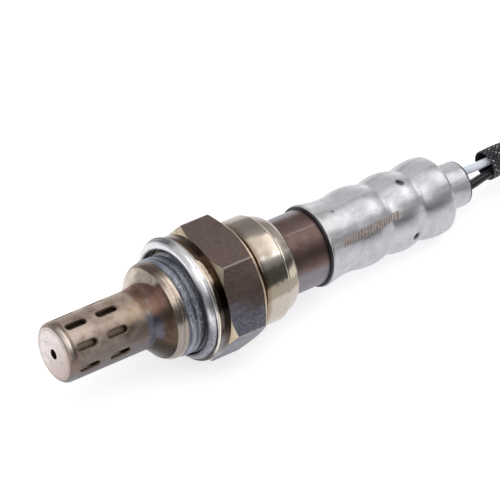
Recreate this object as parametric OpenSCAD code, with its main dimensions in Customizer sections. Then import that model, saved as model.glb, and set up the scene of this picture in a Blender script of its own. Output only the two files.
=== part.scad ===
// Heated oxygen sensor with a hexagon body, a slotted probe, a ribbed sleeve and a short braided lead.
// It lies as it comes to rest: on the hexagon's rear edge and the last rib of the sleeve.
// The floor is z = 0, the probe points to -X and the lead to +X. Lengths in mm.
// On the sensor's own axis, s = 0 is the plane where the hexagon's front corners start, and s grows towards the lead.

/* [Hexagon body] */
// Width across the flats of the hexagon
hex_af = 22; // [20:0.5:24]
// Where the full corners of the hexagon end
hex_len = 5.75; // [5:0.05:6]
// Length of the turned chamfer at each end of the hexagon
hex_chamfer = 1.05; // [0.8:0.05:1.3]
// Radius of the thread over its crests
thread_r = 9; // [8.5:0.1:9.2]
// Radius of the thread relief behind it
relief_r = 8.2; // [8:0.1:8.6]
// Radius of the round collar in front of the hexagon
collar_r = 11.3; // [11:0.1:11.5]
// Radius of the turned boss behind the hexagon
boss_r = 9.88; // [9.6:0.02:10]
// Radius of the bore that holds the ceramic packing
pack_r = 6.5; // [6.5:0.02:6.6]

/* [Probe] */
// Outer radius of the slotted outer shield
shield_r = 5.44; // [5.4:0.01:5.48]
// Wall of the outer shield
shield_wall = 0.5; // [0.4:0.05:0.55]
// Position of the front face of the outer shield
tip_s = -29.84; // [-31:0.02:-29.5]
// Radius of the hole in the front face
tip_hole_r = 0.88; // [0.6:0.02:1.2]
// Length of each slot
slot_len = 4; // [3:0.1:4.4]
// Width of each slot
slot_w = 1.2; // [0.8:0.1:1.5]
// Slots around each of the two rows
slot_count = 8; // [6:1:10]
// Outer radius of the inner shield
inner_r = 4.2; // [4:0.05:4.4]
// Radius of the ceramic thimble at its tip
thimble_r = 2.75; // [2.4:0.05:3]

/* [Gasket] */
// Largest radius of the captive gasket
gasket_r = 11.47; // [11.35:0.01:11.6]
// Inner radius of the gasket
gasket_bore_r = 9.6; // [9.55:0.05:9.8]
// How far the loose gasket sits off centre
gasket_play = 0.13; // [0:0.01:0.4]

/* [Rear casing and sleeve] */
// Outer radius of the plain casing tube
casing_r = 7.02; // [6.9:0.01:7.04]
// Radius of the sleeve at its flared mouth
mouth_r = 7.69; // [7.6:0.01:7.8]
// Radius of the sleeve's straight part
sleeve_r = 7.02; // [7.02:0.01:7.1]
// Wall of the sleeve
sleeve_wall = 0.4; // [0.3:0.02:0.4]
// Radius over the first, second and third rib
crest_r = [7.47, 7.38, 7.39]; // [7.3:0.01:7.6]
// Positions of the three rib crests along the axis
crest_s = [34.6, 42.2, 50]; // [34:0.1:50.2]
// Radius of the two necks between the ribs
neck_r = [6.66, 6.62]; // [6.62:0.01:6.9]
// Positions of the two necks
neck_s = [38.6, 45.9]; // [38:0.1:46.5]
// Radius of the ferrule that grips the grommet
ferrule_r = 4.24; // [4.22:0.01:4.4]
// Radius of the four breather holes
breather_r = 0.72; // [0.5:0.02:0.8]

/* [Lead] */
// Radius of each insulated wire
wire_r = 0.76; // [0.6:0.01:0.78]
// Distance of each wire from the sensor's axis
wire_pitch_r = 2.1; // [2:0.05:2.2]
// Radius of the braided sleeve over the wires
braid_r = 2.85; // [2.6:0.05:2.85]
// Height of the centre of the lead where it leaves the sensor
mouth_z = 7.56; // [7:0.01:8]

/* [Plug] */
// Width of the plug
plug_w = 20; // [19:0.5:24]
// Height of the plug
plug_h = 15.6; // [15:0.1:18]
// Length of the plug without its nose
plug_len = 30; // [28:1:36]
// Size of each square terminal passage
cavity = 2.6; // [2.6:0.05:2.8]

/* [Hidden] */
$fn = 96;

// The sensor rests on the rear edge of one flat and just behind the crest of the third rib.
hex_back_s = hex_len + hex_chamfer;
rest_s = crest_s[2] + 0.93;
lie_tilt = atan((hex_af / 2 - sleeve_at(rest_s)) / (rest_s - hex_back_s));
axis_z = hex_back_s * sin(lie_tilt) + hex_af / 2 * cos(lie_tilt);
grommet_end = 58.55;
x_low = tip_s * cos(lie_tilt) - 4.6 * sin(lie_tilt);
x_high = grommet_end * cos(lie_tilt) + 3.75 * sin(lie_tilt);
axis_x = -(x_low + x_high) / 2;

// Angles about the sensor's axis, from the side that faces the floor.
slot_turn = 2.2;
breather_turn = 4.4;
wire_turn = -5.1;

// The lead's route from the mouth of the braid to the plug, at hand-picked stations.
mouth_x = 50.34;
hank_ends = [70.5, 179.5];
loop_x = [90.5, 159.5];
tie_x = 125;
loop_r = 20.35;
hank_h = 11.6;
plug_x = 198;
plug_z = plug_h / 2;
run_route = [[mouth_x, 0, mouth_z], [51.4, 0, mouth_z], [54, 0, 7.4], [57, 0, 6.8], [60, 0, 5.8], [63, 0, 4.7],
    [66, 0, 3.7], [68.2, 0, 3.1], [69.5, 0, 2.95], [hank_ends[0], 0, 2.95]];
tail_route = [[hank_ends[1], 0, 8.6], [180.5, 0, 8.6], [182.5, 0, 8.4], [184.5, 0, 7.95], [186, 0, plug_z], [190.2, 0, plug_z]];

wire_ends = [[-0.04, 8.54], [0.96, 7.34], [-1.74, 7.12], [-0.74, 5.92]];
plug_pins = [[-3.2, 2.9], [3.2, 2.9], [-3.2, -2.9], [3.2, -2.9]];

module on_axis() {
    translate([axis_x, 0, axis_z]) rotate([0, 90 + lie_tilt, 0]) children();
}

// A point given on the sensor's axis, in the model's frame.
function place(s, y, z) = [axis_x + s * cos(lie_tilt) + z * sin(lie_tilt), y, axis_z - s * sin(lie_tilt) + z * cos(lie_tilt)];

module turned(points) {
    rotate_extrude() polygon(points);
}

module sleeve_of(r_out, r_in, s0, s1) {
    translate([0, 0, s0]) difference() {
        cylinder(r = r_out, h = s1 - s0);
        translate([0, 0, -0.5]) cylinder(r = r_in, h = s1 - s0 + 1);
    }
}

function unit(v) = v / norm(v);
function heading(p, i) = unit(p[min(i + 1, len(p) - 1)] - p[max(i - 1, 0)]);
function hoop(p, i, r, n) = let(t = heading(p, i), a = unit(cross([0, 0, 1], t)), b = cross(t, a))
    [for (k = [0 : n - 1]) p[i] + r * (cos(360 * k / n) * a + sin(360 * k / n) * b)];

module swept(p, r, n = 8) {
    points = [for (i = [0 : len(p) - 1]) each hoop(p, i, r, n)];
    sides = [for (i = [0 : len(p) - 2], k = [0 : n - 1])
        let(a = i * n + k, b = i * n + (k + 1) % n, c = a + n, d = b + n) each [[a, d, b], [a, c, d]]];
    caps = [[for (k = [0 : n - 1]) k], [for (k = [n - 1 : -1 : 0]) (len(p) - 1) * n + k]];
    polyhedron(points = points, faces = concat(sides, caps));
}

// Probe ------------------------------------------------------------------

module slot_cut() {
    translate([shield_r, 0, 0]) rotate([0, 90, 0]) {
        translate([0, 0, -2]) {
            translate([-(slot_len - slot_w) / 2, -slot_w / 2, 0]) cube([slot_len - slot_w, slot_w, 4]);
            for (e = [-1, 1]) translate([e * (slot_len - slot_w) / 2, 0, 0]) cylinder(d = slot_w, h = 4, $fn = 32);
        }
    }
}

module outer_shield() {
    color([0.60, 0.53, 0.47]) on_axis() difference() {
        turned([[tip_hole_r, tip_s], [4.5, tip_s], [4.86, tip_s + 0.07], [5.16, tip_s + 0.28], [5.37, tip_s + 0.58],
            [shield_r, tip_s + 0.94], [shield_r, -11.75], [6.88, -10.31], [6.88, -9.92], [6.56, -9.92],
            [shield_r - shield_wall, -11.54], [shield_r - shield_wall, tip_s + 0.94], [4.7, tip_s + 0.7],
            [4.4, tip_s + 0.6], [tip_hole_r, tip_s + 0.6]]);
        for (k = [0 : slot_count - 1]) rotate([0, 0, slot_turn + k * 360 / slot_count]) {
            translate([0, 0, -25.92]) slot_cut();
            translate([0, 0, -19.68]) slot_cut();
        }
    }
}

module inner_shield() {
    color([0.66, 0.57, 0.47]) on_axis() difference() {
        turned([[0.8, -28.1], [3.5, -28.1], [3.95, -27.9], [inner_r, -27.4], [inner_r, -12.26], [6.5, -9.96],
            [6.5, -9.92], [5.95, -9.92], [inner_r - 0.4, -12.07], [inner_r - 0.4, -27.3], [3.4, -27.7], [0.8, -27.7]]);
        for (k = [0 : 5]) rotate([0, 0, 30 + 60 * k]) translate([3, 0, -14.4]) rotate([0, 90, 0]) cylinder(r = 0.7, h = 3, $fn = 32);
    }
}

// Ceramic thimble with a closed tip and a shoulder that seats in the body.
module sensing_element() {
    color([0.90, 0.88, 0.84]) on_axis() difference() {
        union() {
            translate([0, 0, -24]) sphere(r = thimble_r);
            turned([[0, -24], [thimble_r, -24], [2.95, -9.4], [3.2, -8.6], [4.9, -7.0], [6.1, -7.0], [6.1, -2.6],
                [4.4, -0.9], [4.4, 14.2], [0, 14.2]]);
        }
        translate([0, 0, -23.2]) sphere(r = 1.8);
        translate([0, 0, -23.2]) cylinder(r = 1.8, h = 40);
    }
}

module element_washer() {
    color([0.75, 0.76, 0.78]) on_axis() sleeve_of(6.45, 4.92, -7.4, -7.0);
}

module talc_packing() {
    color([0.80, 0.80, 0.76]) on_axis() turned([[6.14, -2.6], [6.47, -2.6], [6.47, 4.4], [4.43, 4.4], [4.43, -0.88]]);
}

module support_bush() {
    color([0.92, 0.91, 0.87]) on_axis() sleeve_of(6.47, 4.43, 4.4, 9.4);
}

module lock_ring() {
    color([0.62, 0.63, 0.66]) on_axis() sleeve_of(6.45, 4.75, 9.4, 10.28);
}

// Body -------------------------------------------------------------------

module hex_shell() {
    tip_r = hex_af / 2 / cos(30);
    face_r = tip_r - hex_chamfer / tan(31);
    color([0.45, 0.38, 0.35]) on_axis() difference() {
        union() {
            intersection() {
                rotate([0, 0, 30]) translate([0, 0, -hex_chamfer]) cylinder(r = tip_r, h = hex_len + 2 * hex_chamfer, $fn = 6);
                turned([[0, -hex_chamfer], [face_r, -hex_chamfer], [tip_r + 0.01, 0], [tip_r + 0.01, hex_len],
                    [face_r, hex_back_s], [0, hex_back_s]]);
            }
            // Rolled lip over the shields, pilot ring, thread, relief and collar.
            turned([[0, -12.2], [5.75, -12.2], [7.85, -10.1], [8.3, -9.75], [8.72, -9.1], [8.8, -8.8], [8.8, -7.8],
                [thread_r, -7.6], [thread_r, -5.1], [relief_r, -4.7], [relief_r, -3.26], [collar_r - 0.25, -3.26],
                [collar_r, -3.01], [collar_r, -0.84], [0, -0.84]]);
            // Turned boss and the rolled end that grips the casing.
            turned([[0, hex_back_s - 0.5], [10.9, hex_back_s - 0.5], [10.9, hex_back_s + 0.3], [10.8, hex_back_s + 0.4], [9.35, hex_back_s + 0.4], [9.35, 7.9], [boss_r - 0.2, 8.1], [boss_r, 8.3], [boss_r, 12.95],
                [9.6, 13.3], [9.45, 13.45], [8.86, 15.3], [8.6, 15.8], [8.1, 16.15], [7.4, 16.3], [0, 16.3]]);
        }
        turned([[0, -13], [5.5, -13], [5.5, -11.75], [6.94, -10.31], [6.94, -9.92], [5.3, -9.92], [5.3, -7.4],
            [pack_r, -7.4], [pack_r, 10.28], [casing_r + 0.03, 10.28], [casing_r + 0.03, 17], [0, 17]]);
    }
}

// The folded sealing ring sits loosely against the collar, a little off centre.
module gasket() {
    color([0.72, 0.72, 0.76]) on_axis() translate([0, -gasket_play, -3.29])
        turned([[gasket_bore_r, -0.05], [gasket_bore_r, -1.25], [9.72, -1.42], [9.95, -1.5], [10.2, -1.5], [10.65, -1.42],
            [11, -1.15], [11.2, -0.85], [11.27, -0.5], [11.27, -0.34], [gasket_r - 0.05, -0.3], [gasket_r, -0.25],
            [gasket_r, -0.05], [gasket_r - 0.05, 0], [gasket_bore_r + 0.05, 0]]);
}

// Heater and contacts ----------------------------------------------------

module heater_rod() {
    color([0.85, 0.84, 0.82]) on_axis() translate([0, 0, -24]) cylinder(r = 1.1, h = 49);
}

module inner_contact() {
    color([0.80, 0.72, 0.50]) on_axis() union() {
        sleeve_of(1.74, 1.15, 9, 14.2);
        sleeve_of(3.4, 1.15, 14.2, 14.6);
        translate([2.5, -1.2, 14.4]) cube([0.4, 2.4, 13.5]);
    }
}

module outer_contact() {
    color([0.80, 0.72, 0.50]) on_axis() union() {
        sleeve_of(4.75, 4.42, 11.2, 15.8);
        intersection() {
            sleeve_of(4.75, 4.42, 15.5, 27.9);
            translate([-6, -1.3, 15]) cube([6, 2.6, 14]);
        }
    }
}

module heater_contacts() {
    color([0.82, 0.80, 0.72]) on_axis() for (e = [0, 180]) rotate([0, 0, 90 + e]) union() {
        intersection() {
            sleeve_of(1.45, 1.12, 20, 24.8);
            translate([0.3, -2, 19]) cube([2, 4, 7]);
        }
        translate([1.3, -0.8, 24.4]) cube([0.35, 1.6, 3.5]);
    }
}

// Casing and sleeve ------------------------------------------------------

module casing_tube() {
    color([0.36, 0.27, 0.26]) on_axis()
        turned([[4.9, 10.3], [casing_r, 10.3], [casing_r, 25], [6.6, 26.2], [6.6, 36.8], [6.1, 36.8], [6.1, 26.4],
            [casing_r - 0.5, 25.2], [casing_r - 0.5, 10.9], [4.9, 10.9]]);
}

module terminal_insulator() {
    color([0.93, 0.92, 0.88]) on_axis() difference() {
        translate([0, 0, 28]) cylinder(r = 6.05, h = 9);
        for (k = [0 : 3]) rotate([0, 0, wire_turn + 90 * k]) translate([wire_pitch_r, 0, 27]) cylinder(r = 1.12, h = 11, $fn = 48);
    }
}

module disc_spring() {
    color([0.68, 0.69, 0.72]) on_axis() sleeve_of(5.9, 4.1, 37, 37.6);
}

module crimp_terminals() {
    color([0.78, 0.76, 0.70]) on_axis() for (k = [0 : 3]) rotate([0, 0, wire_turn + 90 * k]) translate([wire_pitch_r, 0, 0]) difference() {
        translate([0, 0, 28.6]) cylinder(r = 1.08, h = 8.2, $fn = 48);
        translate([0, 0, 33]) cylinder(r = 0.8, h = 5, $fn = 48);
    }
}

module seal_ring() {
    color([0.06, 0.06, 0.07]) on_axis()
        turned([[casing_r + 0.02, 23.9], [7.4, 23.9], [7.5, 24], [7.5, 24.28], [7.25, 24.3], [7.19, 24.85], [casing_r + 0.02, 24.85]]);
}

module vent_filter() {
    color([0.94, 0.94, 0.93]) on_axis() sleeve_of(6.18, 5.95, 38.2, 46.6);
}

// Radius of the ribbed sleeve along its axis.
function ease(x) = 1 - cos(90 * x);
function rib(s, crest, at, from, base) = crest - (crest - base) * ease(abs(at - s) / abs(at - from));
function sleeve_at(s) =
    s < 28.9 ? sleeve_r + (mouth_r - sleeve_r) * pow((28.9 - s) / 4.3, 1.35) :
    s < 30.8 ? sleeve_r :
    s < crest_s[0] ? rib(s, crest_r[0], crest_s[0], 30.8, sleeve_r) :
    s < neck_s[0] ? rib(s, crest_r[0], crest_s[0], neck_s[0], neck_r[0]) :
    s < crest_s[1] ? rib(s, crest_r[1], crest_s[1], neck_s[0], neck_r[0]) :
    s < neck_s[1] ? rib(s, crest_r[1], crest_s[1], neck_s[1], neck_r[1]) :
    s < crest_s[2] ? rib(s, crest_r[2], crest_s[2], neck_s[1], neck_r[1]) :
    crest_r[2] - 0.045 * pow(s - crest_s[2], 2);

module ribbed_sleeve() {
    stations = [for (s = [24.6 : 0.5 : 51.6]) s];
    outside = [for (s = stations) [sleeve_at(s), s]];
    inside = [for (i = [len(stations) - 1 : -1 : 0]) [sleeve_at(stations[i]) - sleeve_wall, stations[i]]];
    color([0.78, 0.79, 0.81]) on_axis() difference() {
        turned(concat([[7.3, 24.3], [7.52, 24.3]], outside,
            [[7.16, 52.1], [6.95, 52.45], [6.6, 52.72], [6.1, 52.85], [5.2, 52.9], [4.7, 53], [4.38, 53.25], [ferrule_r, 53.7],
            [ferrule_r, 57.9], [4.16, 58.2], [4, 58.3], [ferrule_r - sleeve_wall, 58.3], [ferrule_r - sleeve_wall, 53.2],
            [4.2, 52.7], [5, 52.5], [6.1, 52.43], [6.5, 52.2]], inside));
        for (k = [0 : 3]) rotate([0, 0, breather_turn + 90 * k]) translate([5.5, 0, 43.4]) rotate([0, 90, 0])
            cylinder(r = breather_r, h = 3, $fn = 32);
    }
}

module wire_grommet() {
    color([0.08, 0.08, 0.09]) on_axis() difference() {
        turned([[0, 38.1], [5.9, 38.1], [5.9, 51.6], [5.3, 52.3], [3.8, 52.35], [3.8, 58.34], [3.92, 58.36], [3.92, 58.46],
            [3.75, grommet_end], [0, grommet_end]]);
        for (k = [0 : 3]) rotate([0, 0, wire_turn + 90 * k]) translate([wire_pitch_r, 0, 37]) cylinder(r = wire_r + 0.02, h = 23, $fn = 48);
    }
}

// Lead -------------------------------------------------------------------

// Positions of the wires about the sensor's axis: top, far side, near side and underneath.
function bundle(k) = let(a = 180 + wire_turn + [0, -90, 90, 180][k]) wire_pitch_r * [sin(a), -cos(a)];

// One wire inside the sensor and bare as far as the braid, and its far end inside the plug.
module wire(k) {
    b = bundle(k);
    e = wire_ends[k];
    q = place(59, b[0], b[1]);
    near = concat([for (s = [33.5, 40, 48, 57, 59]) place(s, b[0], b[1])],
        [for (u = [0.25, 0.5, 0.75]) let(w = u * u * (3 - 2 * u))
            [q[0] + u * (49.6 - q[0]), q[1] + w * (e[0] - q[1]), q[2] + w * (e[1] - q[2]) - sin(lie_tilt) * 1.2 * u * (1 - u)]],
        [[49.6, e[0], e[1]], [mouth_x, e[0], e[1]]]);
    p = plug_pins[k];
    far = [[190.2, p[0] * 0.36, plug_z + p[1] * 0.4], [191.5, p[0] * 0.36, plug_z + p[1] * 0.4],
        [193.5, p[0] * 0.55, plug_z + p[1] * 0.58], [195.5, p[0] * 0.85, plug_z + p[1] * 0.86],
        [197, p[0], plug_z + p[1]], [205, p[0], plug_z + p[1]]];
    swept(near, wire_r, 8);
    swept(far, wire_r, 8);
}

module wire_white_near() { color([0.93, 0.94, 0.97]) wire(0); }
module wire_white_far() { color([0.93, 0.94, 0.97]) wire(1); }
module wire_black() { color([0.07, 0.07, 0.08]) wire(2); }
module wire_grey() { color([0.45, 0.46, 0.48]) wire(3); }

module braid_run() { color([0.12, 0.12, 0.13]) swept(run_route, braid_r, 12); }
module braid_tail() { color([0.12, 0.12, 0.13]) swept(tail_route, braid_r, 12); }

// Outer shape of the folded lead: two loops, flat where the lead runs in and out, and the waist under the tie.
module braid_hank() {
    color([0.12, 0.12, 0.13]) difference() {
        union() {
            for (x = loop_x) translate([x, 0, 0]) cylinder(r = loop_r, h = hank_h);
            translate([tie_x - 22, -6.2, 1]) cube([44, 12.4, hank_h - 1]);
        }
        translate([hank_ends[0] - 2, -30, -1]) cube([2, 60, 20]);
        translate([hank_ends[1], -30, -1]) cube([2, 60, 20]);
    }
}

module hank_tie() {
    color([0.05, 0.05, 0.05]) difference() {
        translate([tie_x - 3, -7.2, 0]) cube([6, 14.4, hank_h + 1]);
        translate([tie_x - 4, -6.2, 1]) cube([8, 12.4, hank_h - 1]);
    }
}

// Plug -------------------------------------------------------------------

module plug_block(w, h, c, x0, x1) {
    translate([x0, 0, plug_z]) rotate([90, 0, 90]) linear_extrude(x1 - x0)
        polygon([[-w / 2 + c, -h / 2], [w / 2 - c, -h / 2], [w / 2, -h / 2 + c], [w / 2, h / 2 - c], [w / 2 - c, h / 2],
            [-w / 2 + c, h / 2], [-w / 2, h / 2 - c], [-w / 2, -h / 2 + c]]);
}

module wire_boot() {
    color([0.09, 0.09, 0.10]) translate([0, 0, plug_z]) rotate([0, 90, 0])
        turned([[2.9, 186.6], [3.5, 186.6], [3.7, 187], [4, 191], [5.4, 195], [6.9, 197], [6.9, plug_x], [6.2, plug_x], [6.1, 197.2],
            [4.7, 195.4], [3.2, 191.2], [2.9, 190.4]]);
}

module connector_housing() {
    end_x = plug_x + plug_len;
    color([0.20, 0.21, 0.22]) difference() {
        union() {
            plug_block(plug_w, plug_h, 1.6, plug_x, end_x);
            plug_block(16.4, 12, 1.2, end_x - 1, end_x + 6);
            // Latch arm with its bridge and its hook.
            translate([plug_x + 5, -3.5, plug_h - 0.5]) cube([4, 7, 2.6]);
            translate([plug_x + 5, -3.5, plug_h + 1]) cube([24, 7, 1.1]);
            translate([plug_x + 22, -3.5, plug_h + 2]) cube([2, 7, 0.9]);
        }
        plug_block(14.8, 11.6, 1, plug_x - 1, plug_x + 4);
        for (p = plug_pins) translate([plug_x, p[0] - cavity / 2, plug_z + p[1] - cavity / 2]) cube([plug_len + 8, cavity, cavity]);
        translate([plug_x + 14, 7, 3]) cube([4, 4, plug_h - 6]);
    }
}

module connector_wire_seal() {
    color([0.62, 0.30, 0.14]) difference() {
        plug_block(14.7, 11.5, 1, plug_x, plug_x + 4);
        for (p = plug_pins) translate([plug_x - 1, p[0], plug_z + p[1]]) rotate([0, 90, 0]) cylinder(r = wire_r + 0.02, h = 6, $fn = 48);
    }
}

module connector_nose_seal() {
    color([0.62, 0.30, 0.14]) difference() {
        plug_block(17.8, 13.4, 1.4, plug_x + plug_len, plug_x + plug_len + 2.4);
        plug_block(16.4, 12, 1.2, plug_x + plug_len - 1, plug_x + plug_len + 3);
    }
}

module terminal_lock() {
    color([0.85, 0.85, 0.83]) union() {
        translate([plug_x + 14.05, 7, 3.05]) cube([3.9, 3.05, plug_h - 6.1]);
        translate([plug_x + 14.05, 10, 4.2]) cube([3.9, 0.5, plug_h - 8.4]);
    }
}

module connector_terminals() {
    color([0.80, 0.76, 0.62]) for (p = plug_pins) translate([plug_x, p[0], plug_z + p[1]]) difference() {
        translate([5, -1.25, -1.25]) cube([26, 2.5, 2.5]);
        translate([4, 0, 0]) rotate([0, 90, 0]) cylinder(r = wire_r + 0.02, h = 3.1, $fn = 48);
        translate([14, -0.7, -0.5]) cube([18, 1.4, 1]);
    }
}

outer_shield();
inner_shield();
sensing_element();
element_washer();
talc_packing();
support_bush();
lock_ring();
hex_shell();
gasket();
heater_rod();
inner_contact();
outer_contact();
heater_contacts();
casing_tube();
terminal_insulator();
disc_spring();
crimp_terminals();
seal_ring();
vent_filter();
ribbed_sleeve();
wire_grommet();
wire_white_near();
wire_white_far();
wire_black();
wire_grey();
braid_run();
braid_hank();
braid_tail();
hank_tie();
wire_boot();
connector_housing();
connector_wire_seal();
connector_nose_seal();
terminal_lock();
connector_terminals();
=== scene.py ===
import math

import bmesh
import bpy
from mathutils import Matrix, Vector, geometry, noise


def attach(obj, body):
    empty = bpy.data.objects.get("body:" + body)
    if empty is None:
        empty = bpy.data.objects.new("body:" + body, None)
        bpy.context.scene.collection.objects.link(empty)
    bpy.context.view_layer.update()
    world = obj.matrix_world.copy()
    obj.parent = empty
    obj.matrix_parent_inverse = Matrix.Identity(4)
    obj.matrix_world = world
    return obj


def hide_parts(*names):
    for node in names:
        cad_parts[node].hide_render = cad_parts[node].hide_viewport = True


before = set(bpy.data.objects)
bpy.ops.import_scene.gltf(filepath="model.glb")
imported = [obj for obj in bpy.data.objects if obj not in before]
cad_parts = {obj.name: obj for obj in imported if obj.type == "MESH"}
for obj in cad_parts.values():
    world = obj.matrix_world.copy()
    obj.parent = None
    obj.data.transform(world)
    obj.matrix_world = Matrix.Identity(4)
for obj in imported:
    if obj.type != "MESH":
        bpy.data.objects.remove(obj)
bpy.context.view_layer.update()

scene = bpy.context.scene
MM = 0.001
TAU = 2 * math.pi

# The sensor's own axis: s in mm along it, psi in degrees from its upper side towards -Y.
TILT = math.atan((11 - (7.39 - 0.045 * 0.93 ** 2)) / (50.93 - 6.8))
OZ = 6.8 * math.sin(TILT) + 11 * math.cos(TILT)
OX = -((-29.84 * math.cos(TILT) - 4.6 * math.sin(TILT)) + (58.55 * math.cos(TILT) + 3.75 * math.sin(TILT))) / 2
CT, ST = math.cos(TILT), math.sin(TILT)


def place(s, y, z):
    return Vector((OX + s * CT + z * ST, y, OZ - s * ST + z * CT)) * MM


def on_axis(s, r, psi):
    a = math.radians(psi)
    return place(s, -r * math.sin(a), r * math.cos(a))


# ---------------------------------------------------------------- camera

cam_data = bpy.data.cameras.new("camera")
cam = bpy.data.objects.new("camera", cam_data)
scene.collection.objects.link(cam)
right = Vector((0.8056192, -0.59134547, 0.03589208))
up = Vector((0.39651753, 0.58322608, 0.70895782))
back = Vector((-0.44017219, -0.55691819, 0.70433697))
cam.matrix_world = Matrix((
    (right.x, up.x, back.x, -0.27747907),
    (right.y, up.y, back.y, -0.34733907),
    (right.z, up.z, back.z, 0.45513351),
    (0, 0, 0, 1)))
cam_data.sensor_width = 36
cam_data.lens = 259.2
cam_data.clip_start, cam_data.clip_end = 0.02, 20
scene.camera = cam

# ---------------------------------------------------------------- mesh helpers


def finish_mesh(bm, name, materials, body="root", sharp=None, weld=2e-7):
    if weld:
        bmesh.ops.remove_doubles(bm, verts=bm.verts, dist=weld)
    bmesh.ops.dissolve_degenerate(bm, edges=bm.edges, dist=1e-8)
    bmesh.ops.recalc_face_normals(bm, faces=bm.faces)
    mesh = bpy.data.meshes.new(name)
    bm.to_mesh(mesh)
    bm.free()
    for m in materials:
        mesh.materials.append(m)
    mesh.shade_smooth()
    if sharp is not None:
        mesh.set_sharp_from_angle(angle=math.radians(sharp))
    o = bpy.data.objects.new(name, mesh)
    scene.collection.objects.link(o)
    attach(o, body)
    return o


def rounded(profile, arc=4):
    """Profile corners as (s, r, fillet[, material]), closed. Each filleted corner becomes arc + 1 points.
    Returns the points and, for each, the material of the stretch that starts there."""
    out, mats = [], []
    n = len(profile)
    for i, p in enumerate(profile):
        q, w = Vector(profile[i - 1][:2]), Vector(profile[(i + 1) % n][:2])
        c = Vector(p[:2])
        f = p[2] if len(p) > 2 else 0
        m = p[3] if len(p) > 3 else 0
        if f <= 0:
            out.append((c.x, c.y))
            mats.append(m)
            continue
        a, b = q - c, w - c
        la, lb = a.length, b.length
        a.normalize()
        b.normalize()
        cosang = max(-1, min(1, a.dot(b)))
        ang = math.acos(cosang)
        if ang > math.pi - 0.02:
            out += [(c.x, c.y)] * (arc + 1)
            mats += [m] * (arc + 1)
            continue
        d = min(f / math.tan(ang / 2), la * 0.48, lb * 0.48)
        p0, p1 = c + a * d, c + b * d
        for k in range(arc + 1):
            t = k / arc
            # A circular blend drawn as a rational quadratic.
            w0 = math.sin(ang / 2)
            b0, b1, b2 = (1 - t) ** 2, 2 * t * (1 - t) * w0, t * t
            v = (p0 * b0 + c * b1 + p1 * b2) / (b0 + b1 + b2)
            out.append((v.x, v.y))
            mats.append(m)
    return out, mats


def subdivide(points, mats, step):
    out, om = [], []
    n = len(points)
    for i in range(n):
        a, b = Vector(points[i]), Vector(points[(i + 1) % n])
        k = max(1, int(math.ceil((b - a).length / step)))
        for j in range(k):
            v = a.lerp(b, j / k)
            out.append((v.x, v.y))
            om.append(mats[i])
    return out, om


def add_columns(bm, place_fn, angles, columns, mats, closed=True, wrap=True):
    """columns[j] is the list of (s, r) at angles[j]. Quads join neighbouring columns."""
    rows = [[bm.verts.new(place_fn(s, r, a)) for s, r in col] for a, col in zip(angles, columns)]
    n, m = len(rows), len(rows[0])
    for j in range(n if wrap else n - 1):
        u, v = rows[j], rows[(j + 1) % n]
        for i in range(m if closed else m - 1):
            k = (i + 1) % m
            try:
                f = bm.faces.new((u[i], v[i], v[k], u[k]))
                f.material_index = mats[i]
            except ValueError:
                pass
    return rows


def lathe(name, profile, materials, count=160, arc=4, step=None, place_fn=on_axis, sharp=32, turn=0.0):
    pts, mats = rounded(profile, arc)
    if step:
        pts, mats = subdivide(pts, mats, step)
    bm = bmesh.new()
    angles = [turn + 360 * j / count for j in range(count)]
    add_columns(bm, place_fn, angles, [pts] * count, mats)
    return finish_mesh(bm, name, materials, sharp=sharp)


def stadium(half, radius, offset, n=10, straight=6):
    """Outline of a slot, long way along s, as (u, s) points."""
    r = radius + offset
    pts = []
    for k in range(n + 1):
        a = math.pi * k / n
        pts.append((r * math.cos(a), half + r * math.sin(a)))
    for k in range(1, straight):
        pts.append((-r, half - 2 * half * k / straight)) if half > 0 else None
    for k in range(n + 1):
        a = math.pi + math.pi * k / n
        pts.append((r * math.cos(a), -half + r * math.sin(a)))
    for k in range(1, straight):
        pts.append((r, -half + 2 * half * k / straight)) if half > 0 else None
    clean = []
    for p in pts:
        if not clean or math.dist(p, clean[-1]) > 1e-6:
            clean.append(p)
    if math.dist(clean[0], clean[-1]) < 1e-6:
        clean.pop()
    return clean


def slot_distance(u, s, half, radius):
    return math.hypot(u, max(abs(s) - half, 0)) - radius


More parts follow.
